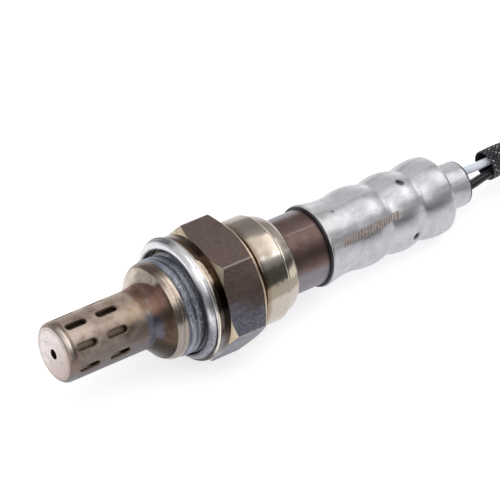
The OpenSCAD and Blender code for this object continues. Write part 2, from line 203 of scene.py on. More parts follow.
def perforated(bm, count, s0, s1, rows, r_out, r_in, holes, turn, mats, rings, place_fn=on_axis):
    """A tube wall with holes. holes are (psi, s, half length, radius). rings are (offset, depth share) from outside to inside."""
    scale = math.radians(1) * r_out((s0 + s1) / 2)
    first, last = rings[0][0], rings[-1][0]
    for radius_at, off, mat in ((r_out, first, mats[0]), (r_in, last, mats[1])):
        coords, edges = [], []
        for j in range(count + 1):
            a = 360 * j / count
            for i in range(rows + 1):
                s = s0 + (s1 - s0) * i / rows
                clear = True
                for psi, hs, half, rad in holes:
                    du = ((turn + a - psi + 180) % 360 - 180) * scale
                    if slot_distance(du, s - hs, half, rad + off) < 0.13:
                        clear = False
                        break
                if clear or i in (0, rows):
                    coords.append(Vector((a * scale, s)))
        for psi, hs, half, rad in holes:
            u0 = ((psi - turn) % 360) * scale
            ring = stadium(half, rad, off)
            base = len(coords)
            for u, s in ring:
                coords.append(Vector((u0 + u, hs + s)))
            edges += [(base + k, base + (k + 1) % len(ring)) for k in range(len(ring))]
        v2, _, faces, _, _, _ = geometry.delaunay_2d_cdt(coords, edges, [], 0, 1e-6)
        verts = [bm.verts.new(place_fn(p.y, radius_at(p.y), turn + p.x / scale)) for p in v2]
        for f in faces:
            cu = sum(v2[k].x for k in f) / len(f)
            cs = sum(v2[k].y for k in f) / len(f)
            inside = False
            for psi, hs, half, rad in holes:
                du = (cu / scale - ((psi - turn) % 360) + 180) % 360 - 180
                if slot_distance(du * scale, cs - hs, half, rad + off) < -1e-3:
                    inside = True
                    break
            if not inside:
                try:
                    bm.faces.new([verts[k] for k in f]).material_index = mat
                except ValueError:
                    pass
    for psi, hs, half, rad in holes:
        u0 = ((psi - turn) % 360)
        loops = []
        for off, share in rings:
            loop = []
            for u, s in stadium(half, rad, off):
                ro, ri = r_out(hs + s), r_in(hs + s)
                loop.append(bm.verts.new(place_fn(hs + s, ro + (ri - ro) * share, turn + u0 + u / scale)))
            loops.append(loop)
        for a, b in zip(loops, loops[1:]):
            for k in range(len(a)):
                q = (k + 1) % len(a)
                bm.faces.new((a[k], a[q], b[q], b[k])).material_index = mats[2]


def smooth_path(control, step):
    """Points every step along a Catmull-Rom curve through the control points."""
    c = [Vector(p) for p in control]
    c = [c[0] * 2 - c[1]] + c + [c[-1] * 2 - c[-2]]
    fine = []
    for i in range(1, len(c) - 2):
        p0, p1, p2, p3 = c[i - 1:i + 3]
        d1 = max((p2 - p1).length ** 0.5, 1e-6)
        d0 = max((p1 - p0).length ** 0.5, 1e-6)
        d2 = max((p3 - p2).length ** 0.5, 1e-6)
        m1 = (p2 - p1 + ((p1 - p0) / d0 - (p2 - p0) / (d0 + d1)) * d1)
        m2 = (p2 - p1 + ((p3 - p2) / d2 - (p3 - p1) / (d1 + d2)) * d1)
        for k in range(24):
            t = k / 24
            fine.append(p1 * (2 * t ** 3 - 3 * t ** 2 + 1) + m1 * (t ** 3 - 2 * t ** 2 + t)
                        + p2 * (-2 * t ** 3 + 3 * t ** 2) + m2 * (t ** 3 - t ** 2))
    fine.append(c[-2])
    return respaced(fine, step)


def respaced(fine, step):
    length = [0.0]
    for a, b in zip(fine, fine[1:]):
        length.append(length[-1] + (b - a).length)
    n = max(2, int(round(length[-1] / step)))
    out, i = [], 0
    for k in range(n + 1):
        d = length[-1] * k / n
        while i < len(fine) - 2 and length[i + 1] < d:
            i += 1
        span = length[i + 1] - length[i]
        out.append(fine[i].lerp(fine[i + 1], (d - length[i]) / span if span else 0))
    return out


def frames(pts, first_up):
    out, u = [], None
    for i, p in enumerate(pts):
        t = (pts[min(i + 1, len(pts) - 1)] - pts[max(i - 1, 0)]).normalized()
        u = (first_up if u is None else u)
        u = (u - t * u.dot(t)).normalized()
        out.append((t, u, t.cross(u)))
    return out


def sweep(bm, pts, radius, count, material=0, first_up=Vector((0, 0, 1)), lay=None, radius_at=None, caps=True):
    """A round tube. lay is a corner layer that takes (turn, length along in mm, 0)."""
    fr = frames(pts, first_up)
    rings, along = [], 0.0
    marks = []
    for i, (p, (t, u, b)) in enumerate(zip(pts, fr)):
        if i:
            along += (p - pts[i - 1]).length / MM
        marks.append(along)
        r = radius_at(i, along) if radius_at else None
        ring = []
        for k in range(count):
            a = TAU * k / count
            rr = radius * (r(a) if callable(r) else (r if r is not None else 1))
            ring.append(bm.verts.new(p + (u * math.cos(a) + b * math.sin(a)) * rr))
        rings.append(ring)
    for i in range(len(rings) - 1):
        for k in range(count):
            q = (k + 1) % count
            f = bm.faces.new((rings[i][k], rings[i][q], rings[i + 1][q], rings[i + 1][k]))
            f.material_index = material
            if lay:
                for loop, (kk, m) in zip(f.loops, ((k, i), (k + 1, i), (k + 1, i + 1), (k, i + 1))):
                    loop[lay] = Vector((kk / count, marks[m], 0))
    if caps:
        bm.faces.new(rings[0][::-1]).material_index = material
        bm.faces.new(rings[-1]).material_index = material
    return rings


# ---------------------------------------------------------------- node helpers


def srgb(r, g, b):
    def one(v):
        v /= 255
        return v / 12.92 if v <= 0.04045 else ((v + 0.055) / 1.055) ** 2.4
    return (one(r), one(g), one(b), 1.0)


class Mat:
    def __init__(self, name, base=(0.5, 0.5, 0.5, 1), metallic=0.0, rough=0.5, **more):
        self.m = bpy.data.materials.new(name)
        self.m.use_nodes = True
        self.t = self.m.node_tree
        self.b = self.t.nodes["Principled BSDF"]
        self.set(**{"Base Color": base, "Metallic": metallic, "Roughness": rough})
        self.set(**{k.replace("_", " "): v for k, v in more.items()})
        self._axis = None
        self._obj = None

    def set(self, **values):
        for k, v in values.items():
            self.join(v, self.b.inputs[k])

    def node(self, kind, **props):
        n = self.t.nodes.new(kind)
        for k, v in props.items():
            setattr(n, k, v)
        return n

    def join(self, value, socket):
        if isinstance(value, bpy.types.NodeSocket):
            self.t.links.new(value, socket)
        elif isinstance(value, Vector):
            socket.default_value = value
        else:
            socket.default_value = value

    def math(self, op, a, b=0.0, c=0.0, clamp=False):
        n = self.node("ShaderNodeMath", operation=op, use_clamp=clamp)
        for v, s in zip((a, b, c), n.inputs):
            self.join(v, s)
        return n.outputs[0]

    def vmath(self, op, a, b=(0, 0, 0), scale=None):
        n = self.node("ShaderNodeVectorMath", operation=op)
        self.join(a, n.inputs[0])
        self.join(b, n.inputs[1])
        if scale is not None:
            self.join(scale, n.inputs["Scale"])
        return n.outputs["Value"] if op in ("DOT_PRODUCT", "LENGTH", "DISTANCE") else n.outputs["Vector"]

    def obj(self):
        if self._obj is None:
            self._obj = self.node("ShaderNodeTexCoord").outputs["Object"]
        return self._obj

    def axis(self):
        """s and radius in mm, and the angle phi in degrees, which is 0 on the side where psi is 39.92."""
        if self._axis is None:
            n = self.node("ShaderNodeGroup")
            n.node_tree = axis_group()
            self._axis = n.outputs
        return self._axis

    def smooth(self, x, a, b, lo=0.0, hi=1.0):
        n = self.node("ShaderNodeMapRange", interpolation_type="SMOOTHSTEP")
        self.join(x, n.inputs["Value"])
        for k, v in (("From Min", a), ("From Max", b), ("To Min", lo), ("To Max", hi)):
            self.join(v, n.inputs[k])
        return n.outputs["Result"]

    def linear(self, x, a, b, lo=0.0, hi=1.0):
        n = self.node("ShaderNodeMapRange")
        self.join(x, n.inputs["Value"])
        for k, v in (("From Min", a), ("From Max", b), ("To Min", lo), ("To Max", hi)):
            self.join(v, n.inputs[k])
        return n.outputs["Result"]

    def band(self, x, a, b, soft):
        """1 between a and b, falling to 0 over soft outside."""
        up_ = self.smooth(x, a - soft, a)
        dn = self.smooth(x, b, b + soft, 1.0, 0.0)
        return self.math("MULTIPLY", up_, dn)

    def mix(self, f, a, b, mode="MIX"):
        n = self.node("ShaderNodeMix", data_type="RGBA", blend_type=mode)
        self.join(f, n.inputs["Factor"])
        ins = [s for s in n.inputs if s.type == "RGBA"]
        self.join(a, ins[0])
        self.join(b, ins[1])
        return [s for s in n.outputs if s.type == "RGBA"][0]

    def fmix(self, f, a, b):
        n = self.node("ShaderNodeMix", data_type="FLOAT")
        ins = [s for s in n.inputs if s.type == "VALUE"]
        self.join(f, ins[0])
        self.join(a, ins[1])
        self.join(b, ins[2])
        return [s for s in n.outputs if s.type == "VALUE"][0]

    def ramp(self, x, stops, mode="LINEAR"):
        n = self.node("ShaderNodeValToRGB")
        n.color_ramp.interpolation = mode
        e = n.color_ramp.elements
        while len(e) > 1:
            e.remove(e[-1])
        e[0].position, e[0].color = stops[0]
        for pos, col in stops[1:]:
            k = e.new(pos)
            k.color = col
        self.join(x, n.inputs["Fac"])
        return n.outputs["Color"]

    def noise(self, vec, scale, detail=3.0, rough=0.55, distort=0.0):
        n = self.node("ShaderNodeTexNoise")
        self.join(vec, n.inputs["Vector"])
        self.join(scale, n.inputs["Scale"])
        n.inputs["Detail"].default_value = detail
        n.inputs["Roughness"].default_value = rough
        n.inputs["Distortion"].default_value = distort
        return n.outputs["Fac"]

    def voronoi(self, vec, scale, feature="F1", rnd=1.0, out="Distance"):
        n = self.node("ShaderNodeTexVoronoi", feature=feature)
        self.join(vec, n.inputs["Vector"])
        n.inputs["Scale"].default_value = scale
        n.inputs["Randomness"].default_value = rnd
        return n.outputs[out]

    def vec(self, x, y, z):
        n = self.node("ShaderNodeCombineXYZ")
        for v, s in zip((x, y, z), n.inputs):
            self.join(v, s)
        return n.outputs[0]

    def split(self, v):
        n = self.node("ShaderNodeSeparateXYZ")
        self.join(v, n.inputs[0])
        return n.outputs

    def attr(self, name):
        n = self.node("ShaderNodeAttribute", attribute_name=name)
        return n.outputs["Vector"]

    def bump(self, height, strength=0.3, distance=0.0001, normal=None):
        n = self.node("ShaderNodeBump")
        n.inputs["Strength"].default_value = strength
        n.inputs["Distance"].default_value = distance
        self.join(height, n.inputs["Height"])
        if normal is not None:
            self.join(normal, n.inputs["Normal"])
        return n.outputs["Normal"]


_axis_tree = None


def axis_group():
    global _axis_tree
    if _axis_tree:
        return _axis_tree
    t = bpy.data.node_groups.new("axis_space", "ShaderNodeTree")
    for name in ("S", "R", "Phi"):
        t.interface.new_socket(name, in_out="OUTPUT", socket_type="NodeSocketFloat")
    t.interface.new_socket("Local", in_out="OUTPUT", socket_type="NodeSocketVector")
    out = t.nodes.new("NodeGroupOutput")
    tc = t.nodes.new("ShaderNodeTexCoord")

    def vm(op, a, b):
        n = t.nodes.new("ShaderNodeVectorMath")
        n.operation = op
        t.links.new(a, n.inputs[0])
        n.inputs[1].default_value = b
        return n.outputs["Value"] if op == "DOT_PRODUCT" else n.outputs["Vector"]

    def mt(op, a, b=0.0):
        n = t.nodes.new("ShaderNodeMath")
        n.operation = op
        for v, s in zip((a, b), n.inputs):
            if isinstance(v, bpy.types.NodeSocket):
                t.links.new(v, s)
            else:
                s.default_value = v
        return n.outputs[0]

    p = vm("SUBTRACT", tc.outputs["Object"], (OX * MM, 0, OZ * MM))
    s = vm("DOT_PRODUCT", p, (CT / MM, 0, -ST / MM))
    y = vm("DOT_PRODUCT", p, (0, -1 / MM, 0))
    z = vm("DOT_PRODUCT", p, (ST / MM, 0, CT / MM))
    r = mt("SQRT", mt("ADD", mt("MULTIPLY", y, y), mt("MULTIPLY", z, z)))
    phi = mt("SUBTRACT", mt("DEGREES", mt("ARCTAN2", y, z)), 39.92)
    c = t.nodes.new("ShaderNodeCombineXYZ")
    t.links.new(s, c.inputs[0])
    t.links.new(y, c.inputs[1])
    t.links.new(z, c.inputs[2])
    for name, sock in (("S", s), ("R", r), ("Phi", phi), ("Local", c.outputs[0])):
        t.links.new(sock, out.inputs[name])
    _axis_tree = t
    return t


# ---------------------------------------------------------------- lead: route and mesh

BRAID_R = 2.85
LOOP_R = 17.5
MOUTH = Vector((50.34, 0, 7.56))


def lead_route():
    """The route of the braided lead in mm: down to the surface, three runs of the hank, and out to the plug."""
    beta = math.acos((2.9 + LOOP_R) / (2 * LOOP_R))
    reach = 2 * LOOP_R * math.sin(beta)
    pts = [(50.34, 0, 7.56), (51.4, 0, 7.56), (54, 0, 7.4), (57, 0, 6.8), (60, 0, 5.8), (63, 0, 4.7), (66, 0, 3.7),
           (68.2, 0, 3.1), (69.5, 0, 2.95), (70.5, 0, 2.95), (74, 0, 2.87), (79, -0.1, 2.87)]
    for x in (84, 90, 96, 102, 108, 113):
        u = max(0, min(1, (x - 80) / 35))
        v = max(0, min(1, (x - 110) / 11))
        pts.append((x, -2.9 * u * u * (3 - 2 * u), 2.87 + 0.98 * v * v * (3 - 2 * v)))
    pts.append((118.94, -2.9, 3.77))
    pts.append((125, -2.9, 3.85))

    def loop(cx, sign, y_in, side):
        """sign 1: the +X loop, entered at y_in going +X; side is the side it swings to first."""
        out = []
        x0 = cx - sign * reach
        n1, n2 = 5, 22
        for k in range(n1):
            a = beta * k / n1
            out.append((x0 + sign * LOOP_R * math.sin(a), y_in + side * LOOP_R * (1 - math.cos(a)), a))
        total = math.pi + 2 * beta
        for k in range(n2 + 1):
            a = total * k / n2
            # From the swing's end round the far side of the loop.
            ang = math.pi / 2 + beta - a
            out.append((cx + sign * LOOP_R * math.cos(ang), side * LOOP_R * math.sin(ang), a))
        for k in range(n1 - 1, -1, -1):
            a = beta * k / n1
            out.append((x0 + sign * LOOP_R * math.sin(a), -y_in - side * LOOP_R * (1 - math.cos(a)), a))
        return out

    one = loop(159.5, 1, -2.9, -1)
    n = len(one)
    for i, (x, y, _) in enumerate(one):
        lift = 0.98 * max(0, min(1, (137 - x) / 6))
        pts.append((x, y, 2.87 + lift))
    pts.append((125, 2.9, 3.85))
    two = loop(90.5, -1, 2.9, 1)
    n = len(two)
    for i, (x, y, _) in enumerate(two):
        f = i / (n - 1)
        # Up over the run that enters under the loop's end, a sag beside it, and out above the two runs.
        u = max(0, min(1, (f - 0.16) / 0.24))
        v = max(0, min(1, (x - 111) / 10))
        lift = 0.98 * v * v * (3 - 2 * v) if f < 0.5 else 0
        sag = max(0, 1 - abs(f - 0.66) / 0.17)
        z = 2.87 + lift + 5.85 * u * u * (3 - 2 * u) - 2.6 * sag * sag * (3 - 2 * sag)
        w = max(0, min(1, (f - 0.66) / 0.34))
        pts.append((x, y + 2.9 * w * w * (3 - 2 * w), z))
    for x, z in ((125, 8.75), (131, 8.72), (138, 8.6), (146, 8.5), (155, 8.48), (164, 8.52), (172, 8.6), (177, 8.62),
                 (179.5, 8.6), (180.5, 8.6), (182.5, 8.4), (184.5, 7.95), (186, 7.8), (188, 7.8), (190.2, 7.8)):
        pts.append((x, 0, z))
    return [Vector(p) for p in pts]


route = [p * MM for p in smooth_path(lead_route(), 0.45)]

# ---------------------------------------------------------------- materials of the sensor


def tip_material():
    """Drawn steel tube, tan from heat, rosy on the front, darker grey-lavender low down as painted shade, and smeared
    at the base. The nose's rim carries a painted highlight and painted shade, and paste flecks carry painted glints.
    """
    m = Mat("tip_steel", metallic=1.0)
    s, r, phi, loc = m.axis()["S"], m.axis()["R"], m.axis()["Phi"], m.axis()["Local"]
    big = m.noise(loc, 0.22, 2, 0.5, 0.6)
    mid = m.noise(loc, 0.9, 4, 0.6, 0.3)
    fine = m.noise(loc, 5.0, 3, 0.6)
    col = m.mix(m.smooth(big, 0.35, 0.65), srgb(190, 174, 162), srgb(172, 153, 141))
    soft = m.noise(loc, 0.7, 2, 0.45)
    col = m.mix(m.math("MULTIPLY", m.smooth(soft, 0.42, 0.70), 0.6), col, srgb(132, 111, 101))
    # Painted shade: cooler and darker towards the lower side.
    low = m.smooth(m.math("ADD", phi, m.math("MULTIPLY", m.math("SUBTRACT", mid, 0.5), 22.0)), 12, 36)
    col = m.mix(m.math("MULTIPLY", low, 0.9), col, m.mix(m.smooth(phi, 35, 68), srgb(112, 102, 98), srgb(107, 104, 108)))
    # Warm tint near the body, brown at the upper edge of it.
    warm = m.math("MULTIPLY", m.band(s, -17.2, -13.0, 2.4), m.smooth(mid, 0.36, 0.6))
    col = m.mix(m.math("MULTIPLY", warm, m.smooth(phi, 30, -5, 0.0, 0.5)), col, srgb(178, 158, 130))
    brown = m.math("MULTIPLY", m.smooth(m.math("ADD", s, m.math("MULTIPLY", mid, 0.8)), -14.3, -12.9), m.smooth(phi, 4, -18, 0.0, 0.95))
    col = m.mix(brown, col, m.mix(m.smooth(mid, 0.4, 0.62), srgb(112, 88, 76), srgb(136, 104, 90)))
    # Darker patches in a band on the near lower side, near the body.
    near_side_patches = m.math("MULTIPLY", m.band(s, -18.0, -13.4, 1.6), m.math("MULTIPLY", m.band(phi, 9, 34, 9), m.smooth(big, 0.3, 0.6)))
    col = m.mix(m.math("MULTIPLY", near_side_patches, 0.7), col, srgb(98, 82, 76))
    # Blue-grey smear at the base.
    reach = m.math("ADD", s, m.math("MULTIPLY", m.math("SUBTRACT", mid, 0.5), 2.4))
    smear = m.math("MULTIPLY", m.smooth(reach, -14.1, -13.3), m.smooth(phi, -8, 10))
    paste = m.mix(m.smooth(fine, 0.4, 0.6), srgb(98, 99, 112), srgb(124, 125, 138))
    # Painted shade: the paste darker on the lower side.
    paste = m.mix(m.smooth(phi, 26, 50, 0.0, 0.9), paste, srgb(84, 84, 95))
    col = m.mix(m.math("MULTIPLY", smear, 0.9), col, paste)
    # Paste flecks, lightened as painted glints on the side that faces the light.
    fleck_and_glint = m.math("MULTIPLY", m.math("MULTIPLY", m.smooth(m.noise(loc, 1.2, 3, 0.6, 0.8), 0.50, 0.66), m.band(s, -13.9, -12.0, 0.4)),
                   m.band(phi, -24, 16, 8))
    col = m.mix(m.math("MULTIPLY", fleck_and_glint, 0.4), col, srgb(168, 168, 176))
    # Painted highlight on the rounded rim of the nose, with painted shade in a browner crease behind it.
    crease = m.math("MULTIPLY", m.band(s, -28.72, -28.30, 0.14), m.band(phi, -45, 18, 14))
    col = m.mix(m.math("MULTIPLY", crease, 0.6), col, srgb(112, 92, 82))
    # Painted shade: the rim darker on its upper side and on its near lower side.
    rim_shade = m.math("ADD", m.smooth(phi, -38, -52), m.band(phi, 16, 46, 10))
    col = m.mix(m.math("MULTIPLY", m.math("MULTIPLY", rim_shade, m.band(s, -29.66, -28.3, 0.2)), 0.65), col, srgb(126, 106, 95))
    # Painted highlight where the rim faces the light.
    rim_highlight = m.math("MULTIPLY", m.band(s, -29.50, -28.95, 0.14), m.band(phi, -38, 14, 12))
    col = m.mix(m.math("MULTIPLY", rim_highlight, 0.7), col, srgb(226, 214, 205))
    # Front face: rosy grey, darker towards its lower near side as painted shade, with three small tool marks.
    face = m.smooth(s, -29.70, -29.82)
    rosy = m.mix(m.smooth(mid, 0.4, 0.65), srgb(220, 211, 208), srgb(204, 192, 188))
    # Painted shade: darker towards the lower near side.
    down = m.math("SUBTRACT", m.math("MULTIPLY", r, m.math("COSINE", m.math("RADIANS", m.math("SUBTRACT", phi, 75.0)))), 0.0)
    rosy = m.mix(m.smooth(down, -2.6, 4.2, 0.0, 0.9), rosy, srgb(178, 161, 155))
    for y, z in ((2.37, 0.93), (0.41, -1.96), (-2.51, 0.08)):
        d = m.vmath("LENGTH", m.vmath("SUBTRACT", loc, (-29.84, -y, z)))
        rosy = m.mix(m.smooth(d, 0.34, 0.14, 0.0, 0.6), rosy, srgb(120, 104, 102))
    col = m.mix(face, col, rosy)
    ring = m.math("MULTIPLY", m.band(r, 4.28, 4.52, 0.14), m.smooth(s, -29.6, -29.76))
    col = m.mix(m.math("MULTIPLY", ring, 0.45), col, srgb(150, 128, 116))
    m.set(**{"Base Color": col})
    rough = m.math("ADD", 0.43, m.math("MULTIPLY", fine, 0.12))
    rough = m.math("ADD", rough, m.smooth(s, -28.3, -28.8, 0.0, -0.14))
    m.set(Roughness=m.math("ADD", rough, m.math("MULTIPLY", smear, 0.06)))
    lines = m.noise(m.vmath("MULTIPLY", loc, (1.0, 9.0, 9.0)), 1.6, 3, 0.6)
    h = m.math("ADD", m.math("MULTIPLY", lines, 0.5), m.math("MULTIPLY", fine, 0.8))
    h = m.math("ADD", h, m.math("MULTIPLY", fleck_and_glint, 0.2))
    m.join(m.bump(h, 0.35, 0.00003), m.b.inputs["Normal"])
    return m.m


def inner_tip_material():
    m = Mat("inner_tip_steel", metallic=1.0)
    loc = m.axis()["Local"]
    n = m.noise(loc, 1.3, 4, 0.6)
    m.set(**{"Base Color": m.mix(n, srgb(206, 190, 172), srgb(160, 138, 118))})
    m.set(Roughness=m.math("ADD", 0.30, m.math("MULTIPLY", n, 0.15)))
    m.join(m.bump(n, 0.2, 0.00003), m.b.inputs["Normal"])
    return m.m


def dark_wall_material():
    """Inside of the pierced walls, darkened as painted shade."""
    m = Mat("shaded_inner_wall", metallic=0.7)
    n = m.noise(m.obj(), 1500, 3, 0.6)
    m.set(**{"Base Color": m.mix(n, srgb(136, 120, 106), srgb(98, 84, 72))}, Roughness=0.42)
    return m.m


def lip_material():
    """Rolled lip: brown, with a painted rosy reflection and pale painted highlights in the middle, a painted cream
    reflection on the outside of its upper left, painted shade on its lower side, and smeared blue-grey low down at its
    root.
    """
    m = Mat("rolled_lip", metallic=1.0)
    s, r, phi, loc = m.axis()["S"], m.axis()["R"], m.axis()["Phi"], m.axis()["Local"]
    n = m.noise(loc, 0.7, 4, 0.6, 0.5)
    cloud = m.noise(loc, 0.45, 3, 0.6, 0.6)
    col = m.mix(m.smooth(s, -12.1, -10.4), srgb(140, 112, 100), srgb(104, 84, 74))
    col = m.mix(m.smooth(n, 0.45, 0.68, 0.0, 0.5), col, srgb(104, 80, 70))
    # Painted reflection: a rosy patch on the near upper side.
    rosy = m.math("MULTIPLY", m.band(phi, -22, -4, 9), m.smooth(n, 0.3, 0.55, 0.4, 1.0))
    col = m.mix(m.math("MULTIPLY", rosy, 0.42), col, srgb(160, 122, 109))
    rings = m.noise(m.vec(m.math("MULTIPLY", s, 7.0), m.math("MULTIPLY", phi, 0.01), 0.0), 1.0, 2, 0.5)
    col = m.mix(m.math("MULTIPLY", m.smooth(rings, 0.50, 0.60), 0.45), col, srgb(74, 52, 43))
    # Painted highlight: pale patches at the front of the near upper side.
    pale = m.math("MULTIPLY", m.smooth(cloud, 0.35, 0.65), m.math("MULTIPLY", m.band(phi, -24, 8, 10), m.smooth(s, -11.6, -12.1)))
    col = m.mix(m.math("MULTIPLY", pale, 0.35), col, srgb(176, 168, 170))
    # Painted shade: darker browns on the lower side, darkest at the bottom.
    col = m.mix(m.smooth(phi, 8, 30, 0.0, 0.9), col, m.mix(m.smooth(n, 0.4, 0.65), srgb(88, 74, 62), srgb(72, 60, 52)))
    col = m.mix(m.smooth(phi, 48, 66, 0.0, 0.8), col, srgb(48, 39, 33))
    # Painted reflection: cream on the outside of the upper left.
    bound = m.math("SUBTRACT", r, m.linear(phi, -85, -35, 5.6, 7.4))
    cream = m.math("MULTIPLY", m.smooth(bound, -0.18, 0.18), m.smooth(phi, -28, -38))
    col = m.mix(m.math("MULTIPLY", cream, 0.92), col, m.mix(m.smooth(n, 0.42, 0.66), srgb(204, 192, 178), srgb(174, 158, 144)))
    smear = m.math("MULTIPLY", m.smooth(m.math("ADD", s, m.math("MULTIPLY", n, 0.9)), -10.6, -11.4), m.band(phi, 12, 44, 10))
    col = m.mix(m.math("MULTIPLY", smear, 0.9), col, srgb(94, 94, 106))
    m.set(**{"Base Color": col})
    m.set(Roughness=m.math("ADD", 0.24, m.math("MULTIPLY", n, 0.14)))
    m.join(m.bump(m.math("ADD", rings, m.math("MULTIPLY", n, 0.4)), 0.4, 0.00004), m.b.inputs["Normal"])
    return m.m


def turned(name, colour_a, colour_b, rough=0.18, lines=5.0, tint=None, strength=0.22, metallic=1.0, low=None, high=None, mid=None, root=None):
    """Turned metal: fine rings round the axis, with a slow change of tint. high and low are painted shade on the upper
    and the lower side;
    mid is painted mottled shade on the near side, edged by a painted dark line and a painted highlight."""
    m = Mat(name, metallic=metallic)
    s, r, phi, loc = m.axis()["S"], m.axis()["R"], m.axis()["Phi"], m.axis()["Local"]
    n = m.noise(loc, 0.35, 3, 0.55, 0.4)
    col = m.mix(m.smooth(n, 0.38, 0.64), colour_a, colour_b)
    if tint is not None:
        col = m.mix(m.math("MULTIPLY", m.smooth(m.noise(m.vmath("MULTIPLY", loc, (2.6, 1.0, 1.0)), 0.9, 4, 0.65), 0.56, 0.7), 0.35), col, tint)
    # Painted shade on the lower side.
    if low is not None:
        col = m.mix(m.smooth(m.math("ADD", phi, m.math("MULTIPLY", n, 14.0)), 14, 38, 0.0, 0.9), col, low)
    # Painted shade on the upper side.
    if high is not None:
        col = m.mix(m.smooth(m.math("ADD", phi, m.math("MULTIPLY", n, 14.0)), -20, -42, 0.0, 0.95), col, high)
    # Painted mottled shade on the near side.
    if mid is not None:
        blot = m.noise(loc, 0.8, 4, 0.65, 0.8)
        at = m.math("ADD", phi, m.math("MULTIPLY", m.math("SUBTRACT", blot, 0.5), 16.0))
        col = m.mix(m.math("MULTIPLY", m.band(at, 6, 28, 7), m.smooth(blot, 0.3, 0.6, 0.7, 1.0)), col, mid)
        # A painted dark line and a painted highlight at the edges of that band.
        col = m.mix(m.math("MULTIPLY", m.band(at, 26, 35, 5), 0.8), col, srgb(138, 126, 110))
        col = m.mix(m.math("MULTIPLY", m.band(at, -5, 3, 4), 0.8), col, srgb(244, 236, 222))
    if root is not None:
        # Heat tint that fades away from a shoulder.
        far_ = m.math("ADD", s, m.math("MULTIPLY", m.math("SUBTRACT", n, 0.5), 1.2))
        col = m.mix(m.smooth(far_, root[1], root[0], 0.0, 0.7), col, root[2])
    m.set(**{"Base Color": col})
    grooves = m.noise(m.vec(m.math("MULTIPLY", s, lines), m.math("MULTIPLY", r, lines), 0.0), 1.0, 3, 0.6)
    smudge = m.noise(loc, 1.8, 4, 0.6)
    m.set(Roughness=m.math("ADD", rough, m.math("MULTIPLY", smudge, 0.10)))
    m.join(m.bump(grooves, strength, 0.00002), m.b.inputs["Normal"])
    return m.m


def collar_material():
    """Collar: gold at the front of its upper side as a painted highlight, dark brown towards the hexagon, partly heat
    tint and partly painted shade, with painted shade on its near and lower sides, a painted grey reflection low down
    and a painted highlight along its front edge.
    """
    m = Mat("collar_edge", metallic=1.0)
    s, r, phi, loc = m.axis()["S"], m.axis()["R"], m.axis()["Phi"], m.axis()["Local"]
    n = m.noise(loc, 0.6, 4, 0.6, 0.4)
    # Painted highlight: gold on the front of the upper side. The dark brown is partly heat tint and partly painted
    # shade.
    gold = m.mix(m.smooth(n, 0.4, 0.62), srgb(186, 172, 156), srgb(164, 148, 132))
    dark = m.mix(m.smooth(n, 0.4, 0.62), srgb(58, 43, 31), srgb(42, 30, 21))
    wave = m.math("MULTIPLY", m.math("SUBTRACT", n, 0.5), 0.8)
    reach = m.math("ADD", -2.3, m.smooth(phi, -20, -34, 0.0, -1.0))
    # Painted light: lighter browns on the upper side.
    dark = m.mix(m.smooth(phi, -44, -66), dark, srgb(96, 80, 70))
    dark = m.mix(m.math("MULTIPLY", m.smooth(s, -2.0, -2.6), m.smooth(phi, -20, -40)), dark, srgb(92, 78, 67))
    reach = m.math("SUBTRACT", reach, m.smooth(phi, -4, 10, 0.0, 0.85))
    front = m.smooth(m.math("SUBTRACT", m.math("ADD", s, wave), reach), 0.12, -0.12)
    col = m.mix(front, dark, gold)
    # Painted shade on the near side, darkest towards the hexagon.
    lower = m.mix(m.smooth(s, -2.5, -2.0), srgb(84, 76, 70), srgb(26, 21, 17))
    col = m.mix(m.band(phi, 6, 36, 8), col, lower)
    # Painted reflection: grey low down, browner towards the hexagon.
    col = m.mix(m.smooth(phi, 40, 56, 0.0, 0.85), col, m.mix(m.smooth(s, -2.4, -1.8), srgb(124, 120, 124), srgb(84, 76, 73)))
    # Painted highlight along the front edge.
    edge = m.math("MULTIPLY", m.smooth(s, -2.98, -3.06), m.smooth(phi, 78, 62, 0.0, 1.0))
    col = m.mix(edge, col, srgb(226, 216, 204))
    # Painted shade at the bottom.
    col = m.mix(m.smooth(phi, 70, 84, 0.0, 0.9), col, srgb(58, 53, 52))
    m.set(**{"Base Color": col})
    grooves = m.noise(m.vec(m.math("MULTIPLY", s, 4.0), 0.0, 0.0), 1.0, 3, 0.6)
    m.set(Roughness=m.math("ADD", 0.14, m.math("MULTIPLY", n, 0.10)))
    m.join(m.bump(grooves, 0.14, 0.00002), m.b.inputs["Normal"])
    return m.m


